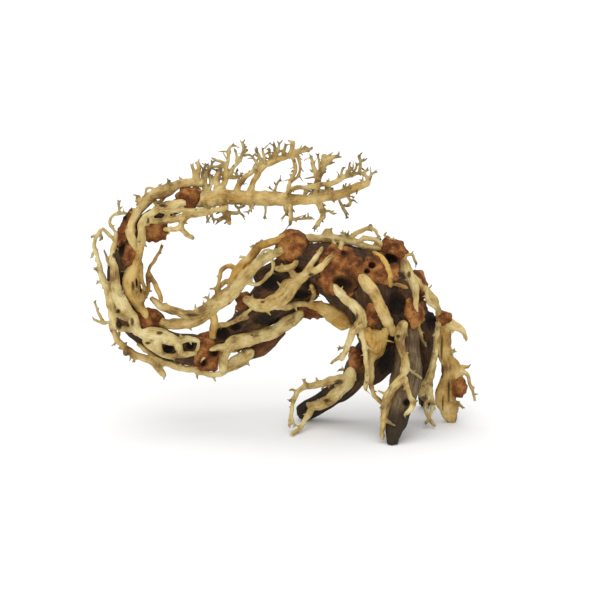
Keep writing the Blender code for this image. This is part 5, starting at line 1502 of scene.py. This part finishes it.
def root_material(name):
    """Peeled root: streaks along the grain, blotches, bark specks, dark tips, and painted shade
    where it lies on the wood and inside its knot holes.
    """
    finish = Finish(name, 0.35)
    place = finish.millimetres()
    grain = finish.attribute("grain", "Vector")
    streaks = finish.noise(finish.stretched(grain, 0.8, 0.8, 0.11), 1.0, 4.0, 0.62)
    blotches = finish.noise(place, 0.055)
    fine = finish.noise(finish.stretched(grain, 2.4, 2.4, 0.35), 1.0, 2.0)
    shade = finish.added(streaks, 0.38, finish.scaled(blotches, 0.8))
    shade = finish.added(finish.attribute("tone"), 0.05, shade)
    drift = finish.between(finish.noise(place, 0.04, 2.0), 0.35, 0.65)
    hue = finish.added(drift, OCHRE_DRIFT, finish.attribute("hue"))
    base = finish.mix(finish.maths("SUBTRACT", hue, OCHRE_DRIFT / 2), finish.ramp(shade, CREAM),
                      finish.ramp(shade, OCHRE))
    base = finish.stained_or_shaded(base, finish.attribute("slim"), 0.5, SLIM_SHADE)
    flecks = finish.noise(finish.stretched(grain, 0.55, 0.55, 0.16), 1.0, 5.0, 0.7)
    base = finish.stained_or_shaded(base, finish.between(flecks, 0.6, 0.68), 0.7, BARK_SHADE)
    # Painted shade where the root lies on the wood, broken up by the streaks
    painted_bed_shade = finish.scaled(finish.attribute("painted_bed_shade"), finish.between(streaks, 0.25, 0.75))
    base = finish.stained_or_shaded(base, painted_bed_shade, 0.8, BED_PAINTED_SHADE)
    base = finish.stained_or_shaded(base, finish.attribute("tip"), 0.9, TIP_SHADE)
    # Painted shade inside the knot holes
    base = finish.stained_or_shaded(base, finish.attribute("pit_painted_shade"), 0.9, KNOT_HOLE_PAINTED_SHADE)
    normal = finish.bump(finish.added(fine, 0.5, streaks), 0.5)
    return finish.done(base, finish.between(fine, -0.8, 1.6), normal)


def wood_material(name, stops):
    """Weathered dark wood: fibres along the grain, red-brown smears, black painted shade in its
    pits, and a darker foot.
    """
    finish = Finish(name, 0.25)
    place = finish.millimetres()
    grain = finish.attribute("grain", "Vector")
    fibres = finish.noise(finish.stretched(grain, 0.5, 0.5, 0.05), 1.0, 5.0, 0.65)
    fine = finish.noise(finish.stretched(grain, 1.7, 1.7, 0.16), 1.0)
    shade = finish.added(fibres, 0.6, finish.scaled(finish.noise(place, 0.06), 0.4))
    smears = finish.between(finish.noise(place, 0.085, 4.0, 0.6), 0.54, 0.6)
    base = finish.stained_or_shaded(finish.ramp(shade, stops), smears, 0.6, SMEAR_SHADE)
    # Painted shade, near black, inside the pits
    base = finish.stained_or_shaded(base, finish.attribute("pit_painted_shade"), 0.95, WOOD_PIT_PAINTED_SHADE)
    # The wood is darker towards the floor
    base = finish.stained_or_shaded(base, finish.attribute("dark_towards_floor"), 0.8, DARK_FOOT_SHADE)
    normal = finish.bump(finish.added(fine, 0.6, fibres), 0.9)
    return finish.done(base, finish.between(fine, -1.2, 1.2), normal)


def putty_material():
    """Red-brown putty: cloudy, grained like sawdust, with painted shade in its hollows."""
    finish = Finish("putty_fine", 0.2)
    place = finish.millimetres()
    clouds = finish.noise(place, 0.085)
    crumbs = finish.noise(place, 0.8, 3.0, 0.6)
    shade = finish.added(clouds, 0.7, finish.scaled(crumbs, 0.3))
    # Painted shade inside the hollows
    base = finish.stained_or_shaded(finish.ramp(shade, PUTTY_BROWN), finish.attribute("pit_painted_shade"), 0.9,
                          PUTTY_PIT_PAINTED_SHADE)
    normal = finish.bump(finish.added(crumbs, 0.8, clouds), 0.7)
    return finish.done(base, finish.between(crumbs, -1.6, 1.1), normal)


MATERIALS = {
    "pale_root": root_material("pale_root_fine"),
    "ochre_root": root_material("ochre_root_fine"),
    "dark_wood": wood_material("dark_wood_fine", DARK_WOOD),
    "leg_wood": wood_material("leg_wood_fine", LEG_WOOD),
    "stub_wood": wood_material("stub_wood_fine", STUB_WOOD),
    "putty": putty_material(),
}
OWN_WOOD = {"leg_front": "leg_wood", "wood_stub": "stub_wood"}

# The camera looks along the drawing's line of sight at its middle
CAMERA_TARGET = (300.0, 300.0, 50.0)
CAMERA_DISTANCE = 2400.0
FRAME_WIDTH = 600.0
SENSOR = 36.0

# The studio: the floor's half width in metres and its shade, and the lights, each given by its
# direction, its strength and how many degrees of sky it fills
FLOOR_REACH = 12.0
FLOOR_SHADE = (0.86, 0.86, 0.86, 1)
WORLD_STRENGTH = 0.65
SUNS = {"key": ((0.15, -0.05, -1.0), 1.75, 70), "fill": ((0.15, 1.0, -0.4), 0.85, 50)}


def add_camera():
    target = Vector(stand(np.array([CAMERA_TARGET]))[0]) * METRES
    back_off = Vector((0, -LEAN_COS, LEAN_SIN)) * CAMERA_DISTANCE * METRES
    data = bpy.data.cameras.new("camera")
    data.sensor_width = SENSOR
    data.lens = SENSOR * CAMERA_DISTANCE / FRAME_WIDTH
    camera = bpy.data.objects.new("camera", data)
    camera.location = target + back_off
    camera.rotation_euler = (math.pi / 2 - VIEW_LEAN, 0, 0)
    bpy.context.collection.objects.link(camera)
    bpy.context.scene.camera = camera


def add_floor():
    mesh = bpy.data.meshes.new("floor")
    around = ((-1, -1), (1, -1), (1, 1), (-1, 1))
    corners = [(x * FLOOR_REACH, y * FLOOR_REACH, 0) for x, y in around]
    mesh.from_pydata(corners, [], [(0, 1, 2, 3)])
    finish = Finish("floor", 0.2)
    finish.shader.inputs["Base Color"].default_value = FLOOR_SHADE
    finish.shader.inputs["Roughness"].default_value = 0.9
    mesh.materials.append(finish.material)
    floor = bpy.data.objects.new("floor", mesh)
    bpy.context.collection.objects.link(floor)


def add_lights():
    world = bpy.data.worlds.new("world")
    world.use_nodes = True
    background = world.node_tree.nodes["Background"]
    background.inputs["Color"].default_value = (1, 1, 1, 1)
    background.inputs["Strength"].default_value = WORLD_STRENGTH
    bpy.context.scene.world = world
    bpy.context.scene.view_settings.view_transform = "Standard"
    for name, (direction, strength, softness) in SUNS.items():
        data = bpy.data.lights.new(name, "SUN")
        data.energy = strength
        data.angle = math.radians(softness)
        light = bpy.data.objects.new(name, data)
        light.rotation_euler = Vector(direction).to_track_quat("-Z", "Y").to_euler()
        bpy.context.collection.objects.link(light)


add_camera()
add_floor()
add_lights()
for root_name in ROOTS:
    make_root(root_name)
for wood_name in WOOD:
    make_wood(wood_name)
for putty_name in PUTTY:
    make_putty(putty_name)
